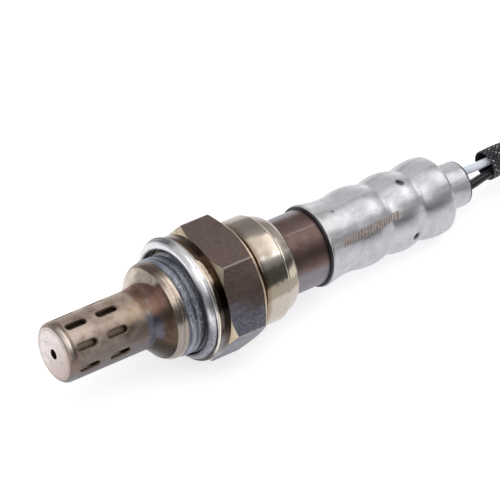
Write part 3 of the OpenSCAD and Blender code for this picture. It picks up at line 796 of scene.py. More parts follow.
def paste_material():
    """Thread under blue-grey anti-seize paste, smeared round, with painted shade in the valley and towards the gasket,
    and glossy flecks on the crests lightened as painted glints.
    """
    m = Mat("thread_paste", metallic=0.75)
    s, r, phi, loc = m.axis()["S"], m.axis()["R"], m.axis()["Phi"], m.axis()["Local"]
    n = m.noise(loc, 1.5, 5, 0.65, 0.8)
    streak = m.noise(m.vec(m.math("MULTIPLY", s, 3.2), m.math("MULTIPLY", phi, 0.035), 0.0), 1.0, 4, 0.6, 0.4)
    col = m.mix(m.smooth(streak, 0.36, 0.66), srgb(104, 107, 118), srgb(158, 161, 172))
    col = m.mix(m.smooth(n, 0.55, 0.72, 0.0, 0.7), col, srgb(72, 72, 80))
    turn = m.math("SUBTRACT", m.math("DIVIDE", m.math("ADD", s, 7.05), 1.5), m.math("DIVIDE", phi, 360.0))
    u = m.math("ABSOLUTE", m.math("SUBTRACT", m.math("FRACT", m.math("ADD", turn, 0.5)), 0.5))
    valley = m.smooth(u, 0.25, 0.42)
    # Painted shade in the valley of the thread.
    col = m.mix(m.math("MULTIPLY", valley, 0.45), col, srgb(66, 66, 72))
    # Painted shade towards the gasket.
    col = m.mix(m.smooth(s, -4.72, -4.45, 0.0, 0.9), col, m.mix(m.smooth(n, 0.4, 0.6), srgb(70, 70, 78), srgb(98, 98, 106)))
    # Glossy paste flecks, lightened as painted glints on the side that faces the light.
    fleck_and_glint = m.math("MULTIPLY", m.smooth(m.noise(loc, 2.2, 4, 0.7, 1.2), 0.51, 0.60), m.band(phi, -34, 30, 14))
    fleck_and_glint = m.math("MULTIPLY", fleck_and_glint, m.math("MULTIPLY", m.band(s, -7.7, -5.0, 0.5), m.math("SUBTRACT", 1.0, m.math("MULTIPLY", valley, 0.7))))
    col = m.mix(fleck_and_glint, col, srgb(222, 226, 236))
    bare = m.math("MULTIPLY", m.band(s, -5.0, -4.75, 0.12), m.band(phi, 22, 60, 10))
    col = m.mix(m.math("MULTIPLY", bare, 0.7), col, srgb(172, 156, 144))
    m.set(**{"Base Color": col})
    m.set(Metallic=m.math("ADD", 0.72, m.math("MULTIPLY", bare, 0.25)))
    rough = m.fmix(fleck_and_glint, m.math("ADD", 0.26, m.math("MULTIPLY", streak, 0.2)), 0.12)
    m.set(Roughness=rough)
    m.set(**{"Coat Weight": 0.3, "Coat Roughness": 0.14})
    h = m.math("ADD", m.math("MULTIPLY", n, 0.8), m.math("ADD", m.math("MULTIPLY", streak, 0.7), m.math("MULTIPLY", fleck_and_glint, 0.8)))
    m.join(m.bump(h, 0.6, 0.00012), m.b.inputs["Normal"])
    return m.m


def gasket_material():
    """Bright satin gasket, scuffed low down, with painted shade on its near, lower and upper sides, grey paste on its
    inner side, and painted shade in the crease before its rim and along the outer edge of its upper side.
    """
    m = Mat("gasket_steel", metallic=1.0)
    s, r, phi, loc = m.axis()["S"], m.axis()["R"], m.axis()["Phi"], m.axis()["Local"]
    n = m.noise(loc, 0.8, 4, 0.6)
    scuff = m.math("MULTIPLY", m.smooth(m.noise(loc, 2.4, 5, 0.7, 1.0), 0.46, 0.60), m.band(phi, 46, 74, 6))
    col = m.mix(m.smooth(n, 0.42, 0.7, 0.0, 0.6), srgb(250, 249, 250), srgb(224, 222, 226))
    # Painted shade: darker on the near side, the lower side and the upper side.
    col = m.mix(m.band(phi, -6, 12, 8), col, srgb(208, 207, 211))
    col = m.mix(m.smooth(phi, 20, 42), col, m.mix(m.smooth(n, 0.4, 0.62), srgb(154, 152, 158), srgb(126, 124, 132)))
    col = m.mix(m.smooth(phi, -38, -62, 0.0, 0.5), col, srgb(176, 173, 177))
    col = m.mix(m.math("MULTIPLY", scuff, 0.8), col, srgb(84, 84, 94))
    wave = m.math("MULTIPLY", m.math("SUBTRACT", m.noise(loc, 1.1, 3, 0.6), 0.5), 0.5)
    # Grey paste on the inner side, spreading further out on the near lower side as painted shade.
    inner = m.smooth(m.math("ADD", r, wave), 10.35, 9.95)
    inner = m.math("MAXIMUM", inner, m.math("MULTIPLY", m.smooth(m.math("ADD", r, wave), 11.0, 10.5), m.band(phi, 2, 40, 10)))
    col = m.mix(m.math("MULTIPLY", inner, 0.85), col, srgb(92, 92, 102))
    # Painted shade in the crease before the rim.
    crease = m.math("MULTIPLY", m.band(s, -3.84, -3.60, 0.08), m.smooth(r, 11.40, 11.30))
    col = m.mix(m.math("MULTIPLY", crease, 0.9), col, srgb(44, 40, 40))
    rim = m.math("MULTIPLY", m.smooth(s, -3.60, -3.54), m.smooth(r, 11.3, 11.38))
    col = m.mix(rim, col, srgb(224, 216, 208))
    # Painted shade along the outer edge on the upper side.
    upper_edge_shade = m.math("MULTIPLY", m.smooth(r, 11.12, 11.30), m.smooth(phi, -46, -64))
    col = m.mix(m.math("MULTIPLY", upper_edge_shade, 0.9), col, srgb(98, 96, 100))
    m.set(**{"Base Color": col})
    m.set(Roughness=m.math("ADD", 0.24, m.math("ADD", m.math("MULTIPLY", n, 0.12), m.math("MULTIPLY", scuff, 0.2))))
    m.join(m.bump(m.math("ADD", n, scuff), 0.18, 0.00004), m.b.inputs["Normal"])
    return m.m


def hex_material():
    """Milled flats, plum-brown from heat, with fine brushed lines along the axis and cool mottling low down."""
    m = Mat("hex_flats", metallic=0.9)
    s, r, phi, loc = m.axis()["S"], m.axis()["R"], m.axis()["Phi"], m.axis()["Local"]
    lines = m.noise(m.vmath("MULTIPLY", loc, (0.8, 12.0, 12.0)), 1.0, 4, 0.7)
    blot = m.noise(loc, 0.42, 4, 0.6, 0.5)
    speck = m.noise(loc, 2.6, 4, 0.7)
    wav = m.math("MULTIPLY", m.math("SUBTRACT", blot, 0.5), 26.0)
    col = m.mix(m.smooth(lines, 0.37, 0.63), srgb(98, 82, 77), srgb(130, 112, 104))
    shade = m.smooth(m.math("ADD", phi, wav), -4, 14)
    col = m.mix(m.math("MULTIPLY", shade, 0.75), col, m.mix(m.smooth(lines, 0.37, 0.63), srgb(70, 59, 56), srgb(92, 79, 75)))
    slant = m.math("ADD", m.math("ADD", phi, wav), m.math("MULTIPLY", m.math("SUBTRACT", s, 3.0), -1.6))
    cool = m.math("MULTIPLY", m.smooth(slant, 20, 44), m.smooth(blot, 0.28, 0.52, 0.55, 1.0))
    col = m.mix(m.math("MULTIPLY", cool, 0.9), col, m.mix(m.smooth(speck, 0.4, 0.6), srgb(134, 135, 149), srgb(108, 108, 120)))
    # Painted highlight along the corners.
    col = m.mix(m.smooth(r, 12.50, 12.64, 0.0, 0.6), col, srgb(168, 154, 148))
    col = m.mix(m.math("MULTIPLY", m.smooth(speck, 0.54, 0.68), 0.5), col, srgb(66, 57, 56))
    m.set(**{"Base Color": col})
    m.set(Roughness=m.math("ADD", 0.38, m.math("MULTIPLY", lines, 0.14)))
    m.join(m.bump(m.math("ADD", lines, m.math("MULTIPLY", speck, 0.4)), 0.4, 0.00003), m.b.inputs["Normal"])
    return m.m


def casing_material():
    m = Mat("casing_steel", metallic=0.95)
    s, phi, loc = m.axis()["S"], m.axis()["Phi"], m.axis()["Local"]
    n = m.noise(loc, 0.5, 3, 0.55, 0.4)
    draw = m.noise(m.vmath("MULTIPLY", loc, (0.25, 5.0, 5.0)), 1.2, 4, 0.6)
    col = m.mix(m.smooth(n, 0.36, 0.66), srgb(112, 94, 89), srgb(97, 79, 75))
    col = m.mix(m.smooth(s, 16, 24, 0.0, 0.35), col, srgb(126, 102, 96))
    # Painted shade: a darker band on the near side.
    col = m.mix(m.math("MULTIPLY", m.band(phi, 10, 24, 8), 0.45), col, srgb(92, 76, 70))
    # Painted reflection: lilac-grey on the lower side.
    col = m.mix(m.smooth(phi, 28, 44, 0.0, 0.9), col, m.mix(m.smooth(draw, 0.4, 0.6), srgb(136, 131, 138), srgb(124, 119, 126)))
    # Painted light: lighter on the upper side.
    col = m.mix(m.smooth(phi, -54, -68), col, srgb(152, 145, 152))
    # Painted highlight: a faint light line along the upper side.
    line = m.math("MULTIPLY", m.band(phi, -27.5, -26.2, 1.4), m.smooth(draw, 0.35, 0.55))
    col = m.mix(m.math("MULTIPLY", line, 0.22), col, srgb(190, 182, 182))
    m.set(**{"Base Color": col})
    m.set(Roughness=m.math("ADD", 0.37, m.math("MULTIPLY", draw, 0.12)))
    m.join(m.bump(draw, 0.2, 0.00003), m.b.inputs["Normal"])
    return m.m


def sleeve_material():
    """Deep-drawn stainless, satin, with painted shade on its lower side, two bands of painted light, a tan strip of
    plain even strokes and a small punch dimple darkened as painted shade.
    """
    m = Mat("sleeve_steel", metallic=1.0)
    s, r, phi, loc = m.axis()["S"], m.axis()["R"], m.axis()["Phi"], m.axis()["Local"]
    n = m.noise(loc, 0.4, 3, 0.55, 0.4)
    grain = m.noise(loc, 6.0, 3, 0.6)
    col = m.mix(m.smooth(n, 0.35, 0.68), srgb(202, 202, 205), srgb(186, 185, 188))
    col = m.mix(m.smooth(s, 28.5, 25.5, 0.0, 0.25), col, srgb(196, 188, 174))
    # Painted shade on the lower side.
    col = m.mix(m.smooth(phi, 14, 34, 0.0, 0.85), col, m.mix(m.smooth(n, 0.35, 0.68), srgb(186, 185, 190), srgb(170, 169, 174)))
    # Painted light: two lighter bands, on the near side and on the upper side.
    col = m.mix(m.math("ADD", m.band(phi, 4, 12, 7), m.math("MULTIPLY", m.band(phi, -58, -44, 8), 0.8)), col, srgb(236, 236, 239))
    centre = m.linear(s, 27.1, 40.2, 16.0, 8.5)
    off = m.math("SUBTRACT", phi, centre)
    edge = m.math("MULTIPLY", m.math("SUBTRACT", m.noise(loc, 3.0, 2, 0.5), 0.5), 1.6)
    strip = m.math("MULTIPLY", m.band(m.math("ADD", off, edge), -5.0, 5.0, 1.4), m.band(s, 27.3, 40.0, 0.5))
    stroke = m.math("PINGPONG", m.math("ADD", s, m.math("MULTIPLY", off, 0.035)), 0.32)
    stroke = m.smooth(stroke, 0.10, 0.22)
    tan = m.mix(stroke, srgb(128, 105, 89), srgb(186, 172, 158))
    patchy = m.smooth(m.noise(loc, 2.4, 4, 0.7), 0.36, 0.6, 0.45, 1.0)
    col = m.mix(m.math("MULTIPLY", strip, m.math("MULTIPLY", patchy, 0.95)), col, tan)
    scratch = m.smooth(m.noise(m.vmath("MULTIPLY", loc, (0.7, 6.0, 6.0)), 1.0, 5, 0.75), 0.55, 0.75)
    col = m.mix(m.math("MULTIPLY", scratch, 0.38), col, srgb(150, 149, 152))
    cloud = m.noise(m.vmath("MULTIPLY", loc, (1.0, 2.2, 2.2)), 0.8, 5, 0.7, 0.8)
    col = m.mix(m.smooth(cloud, 0.46, 0.72, 0.0, 0.4), col, srgb(156, 156, 160))
    # Painted shade in the punch dimple, with a dent in the bump.
    dim = m.vmath("SUBTRACT", loc, (28.2, 7.06 * math.sin(math.radians(5)), 7.06 * math.cos(math.radians(5))))
    d = m.vmath("LENGTH", dim)
    pit = m.smooth(d, 0.42, 0.22)
    col = m.mix(m.math("MULTIPLY", pit, 0.7), col, srgb(86, 84, 86))
    m.set(**{"Base Color": col})
    ferrule = m.smooth(s, 52.4, 53.4)
    rough = m.math("ADD", 0.29, m.math("MULTIPLY", cloud, 0.14))
    rough = m.math("ADD", rough, m.math("MULTIPLY", strip, 0.22))
    m.set(Roughness=m.math("ADD", rough, m.math("MULTIPLY", ferrule, 0.05)))
    h = m.math("ADD", m.math("MULTIPLY", grain, m.fmix(ferrule, 0.35, 1.2)), m.math("MULTIPLY", pit, -3.0))
    h = m.math("ADD", h, m.math("MULTIPLY", m.math("MULTIPLY", strip, stroke), -0.6))
    h = m.math("ADD", h, m.math("MULTIPLY", scratch, -0.35))
    h = m.math("ADD", h, m.math("MULTIPLY", cloud, 1.4))
    m.join(m.bump(h, 0.35, 0.00004), m.b.inputs["Normal"])
    return m.m


def rubber(name, colour, rough=0.5, bumpy=0.3, sheen=0.0):
    m = Mat(name, base=colour, rough=rough)
    n = m.noise(m.obj(), 2200, 4, 0.6)
    w = m.noise(m.obj(), 260, 3, 0.5)
    dark = tuple(c * 0.7 for c in colour[:3]) + (1,)
    m.set(**{"Base Color": m.mix(m.smooth(w, 0.35, 0.7), colour, dark)})
    m.set(Roughness=m.math("ADD", rough, m.math("MULTIPLY", n, 0.12)))
    m.join(m.bump(n, bumpy, 0.00003), m.b.inputs["Normal"])
    return m.m


def plastic(name, colour, rough=0.35, grain=1500, strength=0.25):
    m = Mat(name, base=colour, rough=rough)
    n = m.noise(m.obj(), grain, 2, 0.5)
    w = m.noise(m.obj(), 90, 3, 0.5)
    lift = tuple(min(1, c * 1.12 + 0.004) for c in colour[:3]) + (1,)
    m.set(**{"Base Color": m.mix(w, colour, lift)})
    m.set(Roughness=m.math("ADD", rough, m.math("MULTIPLY", w, 0.08)))
    m.join(m.bump(n, strength, 0.00002), m.b.inputs["Normal"])
    return m.m


def ceramic(name, colour, speck):
    m = Mat(name, base=colour, rough=0.55)
    n = m.noise(m.obj(), 900, 5, 0.65)
    k = m.smooth(m.noise(m.obj(), 2600, 2, 0.5), 0.62, 0.72)
    col = m.mix(n, colour, tuple(c * 0.9 for c in colour[:3]) + (1,))
    m.set(**{"Base Color": m.mix(m.math("MULTIPLY", k, 0.5), col, speck)})
    m.join(m.bump(n, 0.3, 0.00004), m.b.inputs["Normal"])
    return m.m


def sheet_metal(name, colour, rough=0.25):
    m = Mat(name, base=colour, metallic=1.0, rough=rough)
    n = m.noise(m.obj(), 700, 3, 0.6)
    fine = m.noise(m.obj(), 4000, 2, 0.6)
    m.set(**{"Base Color": m.mix(n, colour, tuple(c * 0.8 for c in colour[:3]) + (1,))})
    m.set(Roughness=m.math("ADD", rough, m.math("MULTIPLY", n, 0.15)))
    m.join(m.bump(fine, 0.15, 0.00002), m.b.inputs["Normal"])
    return m.m


def braid_material():
    """Black braided sleeving: two sets of yarns, one over one, with painted shade in the low parts of the weave and
    painted silvery glints on the raised yarns.
    """
    m = Mat("black_braid", rough=0.5)
    lay = m.split(m.attr("lay"))
    turns, along = lay[0], lay[1]
    a = m.math("ADD", m.math("MULTIPLY", turns, 20.0), m.math("MULTIPLY", along, 1.12))
    b = m.math("SUBTRACT", m.math("MULTIPLY", turns, 20.0), m.math("MULTIPLY", along, 1.12))
    fa, fb = m.math("FRACT", a), m.math("FRACT", b)
    ia, ib = m.math("FLOOR", a), m.math("FLOOR", b)
    par = m.math("MODULO", m.math("ADD", m.math("ABSOLUTE", m.math("ADD", ia, ib)), 0.25), 2.0)
    par = m.math("GREATER_THAN", par, 1.0)

    def hump(f):
        g = m.math("SUBTRACT", m.math("MULTIPLY", f, 2.0), 1.0)
        return m.math("SUBTRACT", 1.0, m.math("MULTIPLY", g, g))

    ha, hb = hump(fa), hump(fb)
    across = m.fmix(par, ha, hb)
    length = m.fmix(par, hb, ha)
    h = m.math("MULTIPLY", across, m.math("ADD", 0.45, m.math("MULTIPLY", length, 0.55)))
    cell = m.node("ShaderNodeTexWhiteNoise", noise_dimensions="3D")
    m.join(m.vec(m.math("FLOORED_MODULO", ia, 20.0), m.math("FLOORED_MODULO", ib, 20.0), m.math("FLOOR", m.math("MULTIPLY", along, 0.7))),
           cell.inputs["Vector"])
    rnd = cell.outputs["Value"]
    fibre = m.noise(m.vec(m.math("MULTIPLY", m.fmix(par, fa, fb), 6.0), m.math("MULTIPLY", m.fmix(par, fb, fa), 1.4), rnd), 1.0, 2, 0.6)
    glint = m.math("MULTIPLY", m.smooth(h, 0.50, 0.85), m.smooth(rnd, 0.50, 0.80))
    glint = m.math("MULTIPLY", glint, m.smooth(fibre, 0.36, 0.62))
    # Painted shade: the low parts of the weave darker.
    col = m.mix(h, srgb(8, 8, 10), srgb(44, 44, 50))
    # Painted glints on some raised yarns, which are also glossier.
    col = m.mix(m.math("MULTIPLY", glint, 0.85), col, srgb(196, 197, 206))
    m.set(**{"Base Color": col})
    m.set(Roughness=m.fmix(glint, 0.52, 0.30))
    m.join(m.bump(m.math("ADD", h, m.math("MULTIPLY", fibre, 0.25)), 0.9, 0.00025), m.b.inputs["Normal"])
    return m.m


MAT = {
    "tip": tip_material(),
    "inner_tip": inner_tip_material(),
    "wall": dark_wall_material(),
    "lip": lip_material(),
    # For gold_ring, collar_face and boss, the high, mid and low colours are painted shade and light by side.
    "gold": turned("gold_ring", srgb(206, 192, 177), srgb(190, 174, 160), 0.17, 6.0, srgb(150, 126, 106),
                   low=srgb(141, 132, 126), high=srgb(104, 90, 83)),
    "paste": paste_material(),
    "gasket": gasket_material(),
    "collar_face": turned("collar_face", srgb(196, 180, 156), srgb(170, 152, 126), 0.22, 5.0, srgb(120, 96, 74),
                          low=srgb(60, 53, 50)),
    "collar": collar_material(),
    "chamfer": turned("chamfer", srgb(198, 184, 160), srgb(176, 160, 136), 0.27, 6.0, srgb(124, 106, 86)),
    "hex": hex_material(),
    "groove": turned("groove", srgb(126, 96, 66), srgb(90, 68, 50), 0.25, 5.0),
    "boss": turned("boss", srgb(203, 192, 179), srgb(186, 173, 158), 0.13, 5.0, srgb(138, 124, 104), 0.12,
                   high=srgb(150, 139, 130), mid=srgb(188, 178, 160), low=srgb(180, 171, 160), root=(8.2, 9.5, srgb(122, 101, 80))),
    "hole": sheet_metal("hole_wall", srgb(150, 150, 154), 0.4),
    "bore": turned("bore_wall", srgb(140, 132, 122), srgb(104, 96, 88), 0.35, 4.0),
    "casing": casing_material(),
    "seal": rubber("black_seal", srgb(16, 16, 18), 0.34),
    "sleeve": sleeve_material(),
    "grommet": rubber("grommet_rubber", srgb(26, 26, 28), 0.5),
    "white_wire": plastic("white_wire", srgb(226, 232, 246), 0.28, 900, 0.08),
    "black_wire": plastic("black_wire", srgb(20, 20, 23), 0.26, 900, 0.08),
    "grey_wire": plastic("grey_wire", srgb(122, 124, 130), 0.28, 900, 0.08),
    "braid": braid_material(),
    "braid_inside": rubber("braid_inside", srgb(14, 14, 16), 0.7),
    "tie": plastic("tie_nylon", srgb(20, 20, 22), 0.38, 1200, 0.2),
    "boot": rubber("boot_rubber", srgb(28, 28, 30), 0.5),
    "plug": plastic("plug_plastic", srgb(50, 52, 55), 0.42, 2600, 0.4),
    "lock": plastic("lock_plastic", srgb(222, 220, 212), 0.38, 2000, 0.3),
    "silicone": rubber("orange_silicone", srgb(186, 92, 42), 0.38, 0.2),
    "contact": sheet_metal("contact_metal", srgb(222, 208, 168), 0.25),
    "spring": sheet_metal("spring_steel", srgb(192, 194, 200), 0.28),
    "ceramic": ceramic("white_ceramic", srgb(236, 232, 222), srgb(180, 172, 156)),
    "heater": ceramic("heater_ceramic", srgb(216, 212, 206), srgb(130, 124, 118)),
    "talc": ceramic("pressed_talc", srgb(206, 206, 196), srgb(160, 160, 150)),
    "filter": ceramic("porous_filter", srgb(240, 240, 238), srgb(214, 214, 212)),
}

# ---------------------------------------------------------------- probe

SEAM = 24.7
SHIELD_COUNT = 192


def outer_shield():
    prof = [(-29.24, 0.88, 0.05), (-29.84, 0.88, 0.12), (-29.84, 4.30)]
    for k in range(1, 11):
        a = math.radians(9 * k)
        prof.append((-28.74 - 1.10 * math.cos(a), 4.34 + 1.10 * math.sin(a)))
    prof.append((-28.4, 5.44))
    outer, _ = rounded([(-29.24, 0.95)] + prof[1:] + [(-28.4, 4.94), (-28.9, 4.94, 0.2), (-29.24, 4.5, 0.2)], 5)
    # Open column from the inner tube end round the nose to the outer tube start.
    i = min(range(len(outer)), key=lambda k: math.dist(outer[k], (-28.4, 4.94)))
    nose = outer[i:] + outer[:i]
    bm = bmesh.new()
    angles = [SEAM + 360 * j / SHIELD_COUNT for j in range(SHIELD_COUNT)]
    add_columns(bm, on_axis, angles, [nose] * SHIELD_COUNT, [0] * len(nose), closed=False)
    holes = []
    for k in range(8):
        for s in (-25.92, -19.68):
            holes.append(((2.2 + 45 * k) % 360, s, 1.4, 0.6))
    rings = [(0.20, 0.0), (0.12, 0.04), (0.05, 0.15), (0.0, 0.36), (0.0, 0.75), (0.03, 0.95), (0.10, 1.0)]
    perforated(bm, SHIELD_COUNT, -28.4, -17.0, 44, lambda s: 5.44, lambda s: 4.94, holes, SEAM, [0, 1, 1], rings)
    base, mats = rounded([(-17.0, 5.44), (-11.9, 5.44, 0.3), (-10.31, 6.88), (-9.92, 6.88), (-9.92, 6.56), (-11.54, 4.94), (-17.0, 4.94)], 4)
    base, mats = base[:-1] + [base[-1]], mats
    add_columns(bm, on_axis, angles, [base] * SHIELD_COUNT, [0] * len(base), closed=False)
    o = finish_mesh(bm, "shield_outer", [MAT["tip"], MAT["wall"]], sharp=40)
    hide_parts("outer_shield")


def inner_shield():
    bm = bmesh.new()
    n = 96
    angles = [360 * j / n for j in range(n)]
    front, _ = rounded([(-15.6, 3.8), (-27.3, 3.8, 0.3), (-27.7, 3.4), (-27.7, 0.8), (-28.1, 0.8), (-28.1, 3.6, 0.3), (-27.4, 4.2, 0.6), (-15.6, 4.2)], 4)
    add_columns(bm, on_axis, angles, [front] * n, [0] * len(front), closed=False)
    holes = [((30 + 60 * k) % 360, -14.4, 0.0, 0.7) for k in range(6)]
    perforated(bm, n, -15.6, -13.2, 8, lambda s: 4.2, lambda s: 3.8, holes, 0.0, [0, 0, 0],
               [(0.05, 0.0), (0.0, 0.2), (0.0, 0.8), (0.05, 1.0)])
    base = [(-13.2, 4.2), (-12.26, 4.2), (-9.96, 6.5), (-9.92, 6.5), (-9.92, 5.95), (-12.07, 3.8), (-13.2, 3.8)]
    add_columns(bm, on_axis, angles, [base] * n, [0] * len(base), closed=False)
    o = finish_mesh(bm, "shield_inner", [MAT["inner_tip"]], sharp=35)
    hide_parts("inner_shield")


outer_shield()
inner_shield()

# ---------------------------------------------------------------- hexagon body


def hex_radius(psi):
    """Radius of the hexagon at this angle, with its corners rounded. Corners are at psi 30, 90, ..."""
    d = abs((psi - 30 + 30) % 60 - 30)
    if d < 0.68:
        a = math.radians(d)
        return 12.355 * math.cos(a) + math.sqrt(0.09 - (12.355 * math.sin(a)) ** 2)
    return 11 / math.cos(math.radians(30 - d))


def ease(x):
    x = max(0.0, min(1.0, x))
    return x * x * (3 - 2 * x)


def thread_radius(s, psi):
    phi = (psi - 39.92 + 180) % 360 - 180
    centre = -7.05 + 1.5 * (phi / 360)
    u = ((s - centre) / 1.5 + 0.5) % 1 - 0.5
    r = 9.0 - 0.46 * ease((abs(u) - 0.22) / 0.22)
    # Paste smeared over the first two crests.
    p = on_axis(s, 9.0, psi) / MM
    lump = noise.fractal(Vector((p.x * 0.9, p.y * 0.9, p.z * 0.9)), 0.9, 2.1, 4)
    fine = noise.fractal(Vector((p.x * 2.6 + 7, p.y * 2.6, p.z * 2.6)), 0.8, 2.1, 3)
    pasted = ease((s + 7.7) / 0.4) * (1 - ease((s + 5.0) / 0.3)) * ease((phi + 100) / 40) * (1 - ease((phi - 80) / 30))
    r += pasted * (0.05 * lump + 0.045 * max(0.0, fine))
    start = ease((s + 7.86) / 0.3)
    r = 8.78 * (1 - start) + r * start
    end = ease((s + 5.15 - 0.55 * ease((phi + 10) / 40) * (1 - ease((phi - 90) / 40))) / 0.35)
    r = min(r, 9.06) * (1 - end) + (8.68 + 0.05 * lump) * end
    # Paste fills the corner under the gasket.
    fill = ease((s + 4.72) / 0.42)
    return r * (1 - fill) + (9.33 + 0.04 * lump) * fill


def hex_shell():
    tan31 = math.tan(math.radians(31))
    bm = bmesh.new()
    psis = set(round(1.5 * j, 3) for j in range(240))
    for k in range(6):
        c = 30 + 60 * k
        for d in (0.23, 0.46, 0.68, 0.9, 1.1):
            psis.add(round((c + d) % 360, 3))
            psis.add(round((c - d) % 360, 3))
    psis = sorted(psis)
    LIP, GOLD, PASTE, RELIEF, FACE, EDGE, CHAM, HEX, GROOVE, BOSS, BORE = range(11)
    rows = [-7.86 + 3.72 * i / 68 for i in range(69)]
    columns, mats = [], None
    for psi in psis:
        h = hex_radius(psi)
        prof = [(-12.1, 5.38, 0, LIP), (-12.5, 5.46, 0, LIP), (-12.05, 5.86, 0.5, LIP), (-10.1, 7.86, 0.35, LIP), (-9.78, 8.28, 0.10, GOLD),
                (-9.1, 8.7, 0.10, GOLD), (-8.86, 8.74, 0.04, GOLD), (-8.80, 8.66, 0.03, GOLD), (-8.70, 8.66, 0.03, GOLD),
                (-8.64, 8.8, 0.05, GOLD), (-8.06, 8.8, 0.04, GOLD), (-8.02, 8.73, 0.02, GOLD), (-7.94, 8.73, 0.02, GOLD)]
        prof += [(s, thread_radius(s, psi), 0, PASTE) for s in rows]
        prof += [(-4.1, 9.33, 0, PASTE), (-3.26, 9.33, 0.08, PASTE), (-3.26, 9.5, 0, FACE), (-3.26, 11.1, 0.10, EDGE), (-3.04, 11.3, 0.12, EDGE), (-2.2, 11.3, 0.3, EDGE),
                 (-0.86, 11.22, 0, EDGE)]
        if h > 11.32:
            f = -1.05 + (h - 10.95) * tan31
            prof += [(-0.84, 11.22, 0, CHAM), (f, h, 0.22, HEX)]
        else:
            prof += [(-0.84, 11.2199, 0, CHAM), (-0.82, h, 0.02, HEX)]
        b = 6.8 - (h - 10.95) * tan31
        prof += [(b, h, 0.22, CHAM), (6.8, 10.97, 0.10, CHAM), (7.08, 10.92, 0.10, GROOVE), (7.2, 10.8, 0.05, GROOVE),
                 (7.2, 9.35, 0.1, GROOVE), (7.9, 9.35, 0.1, GROOVE), (8.08, 9.7, 0.05, BOSS), (8.3, 9.88, 0.12, BOSS),
                 (12.92, 9.88, 0.18, BOSS), (13.28, 9.62, 0.06, BOSS), (13.36, 9.46, 0.04, BOSS), (13.46, 9.5, 0.05, BOSS), (15.3, 8.86, 0.5, BOSS),
                 (15.95, 8.42, 0.4, BOSS), (16.3, 7.5, 0.15, BOSS), (16.3, 7.05, 0.05, BORE), (10.28, 7.05, 0, BORE),
                 (10.28, 6.5, 0, BORE), (-7.4, 6.5, 0, BORE), (-7.4, 5.3, 0, BORE), (-9.92, 5.3, 0, BORE), (-9.92, 6.94, 0, BORE),
                 (-10.31, 6.94, 0, BORE), (-11.75, 5.5, 0, BORE)]
        pts, mats = rounded(prof, 3)
        columns.append(pts)
    add_columns(bm, on_axis, psis, columns, mats)
    o = finish_mesh(bm, "body_hex", [MAT["lip"], MAT["gold"], MAT["paste"], MAT["bore"], MAT["collar_face"], MAT["collar"],
                                     MAT["chamfer"], MAT["hex"], MAT["groove"], MAT["boss"], MAT["bore"]], sharp=50)
    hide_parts("hex_shell")
    return o


hex_shell()


def gasket_place(s, r, psi):
    """The loose gasket sits a little off the sensor's axis."""
    a = math.radians(psi)
    return place(s - 3.29, -r * math.sin(a) + 0.10, r * math.cos(a) + 0.19)


def gasket():
    prof = [(-0.05, 9.6, 0.04), (-1.25, 9.6, 0.15), (-1.44, 9.74, 0.15), (-1.52, 10.02, 0.2), (-1.52, 10.35, 0.25), (-1.40, 10.72, 0.25),
            (-1.12, 11.02, 0.25), (-0.82, 11.22, 0.2), (-0.52, 11.32, 0.08), (-0.44, 11.24, 0.03), (-0.36, 11.24, 0.03),
            (-0.30, 11.40, 0.04), (-0.24, 11.47, 0.05), (-0.04, 11.47, 0.04), (0.0, 11.42, 0.02), (0.0, 9.65, 0.04)]
    pts, mats = rounded(prof, 3)
    bm = bmesh.new()
    n = 300
    angles = [360 * j / n for j in range(n)]
    columns = []
    for a in angles:
        col = []
        phi = (a - 39.92 + 180) % 360 - 180
        # A small step where the strip's end shows, low on the near side.
        nick = math.exp(-((phi - 51.5) / 0.9) ** 2)
        wav = noise.noise(Vector((math.cos(math.radians(a)) * 2.2, math.sin(math.radians(a)) * 2.2, 0.3)))
        # It leans off the hexagon by 0.3 mm on the far upper side, and it is pressed in on the lower side, most at its folded front.
        lean = -0.15 * (1 + math.cos(math.radians(phi + 60)))
        press = ease((phi - 50) / 32) * ease((165 - phi) / 30)
        for s, r in pts:
            front = ease((-0.5 - s) / 0.6)
            inward = press * (0.5 + 0.4 * front) * max(0.0, min(1.0, (r - 9.6) / 1.6))
            col.append((s + lean + front * (0.05 * wav + 0.10 * nick), r - front * 0.10 * nick - inward))
        columns.append(col)
    add_columns(bm, gasket_place, angles, columns, mats)
    o = finish_mesh(bm, "gasket_ring", [MAT["gasket"]], sharp=38)
    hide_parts("gasket")


gasket()

# ---------------------------------------------------------------- casing, sleeve, grommet

o = lathe("casing_rear", [(10.3, 4.9), (10.3, 7.02), (25.0, 7.02, 1.0), (26.2, 6.6, 1.0), (36.8, 6.6), (36.8, 6.1), (26.4, 6.1, 0.5),
                          (25.2, 6.52, 0.5), (10.9, 6.52), (10.9, 4.9)], [MAT["casing"]], count=192)
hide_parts("casing_tube")

o = lathe("seal_black", [(23.9, 7.04), (23.9, 7.36, 0.08), (24.0, 7.5, 0.08), (24.28, 7.5), (24.3, 7.25), (24.85, 7.19), (24.85, 7.04)],
          [MAT["seal"]], count=192)
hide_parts("seal_ring")


def half_cos(x):
    return 1 - math.cos(math.radians(90 * x))


def rib(s, crest, at, start, base):
    return crest - (crest - base) * half_cos(abs(at - s) / abs(at - start))


def sleeve_at(s):
    if s < 28.9:
        return 7.02 + 0.67 * ((28.9 - s) / 4.3) ** 1.35
    if s < 30.8:
        return 7.02
    if s < 34.6:
        return rib(s, 7.47, 34.6, 30.8, 7.02)
    if s < 38.6:
        return rib(s, 7.47, 34.6, 38.6, 6.66)
    if s < 42.2:
        return rib(s, 7.38, 42.2, 38.6, 6.66)
    if s < 45.9:
        return rib(s, 7.38, 42.2, 45.9, 6.62)
    if s < 50:
        return rib(s, 7.39, 50, 45.9, 6.62)
    return 7.39 - 0.045 * (s - 50) ** 2


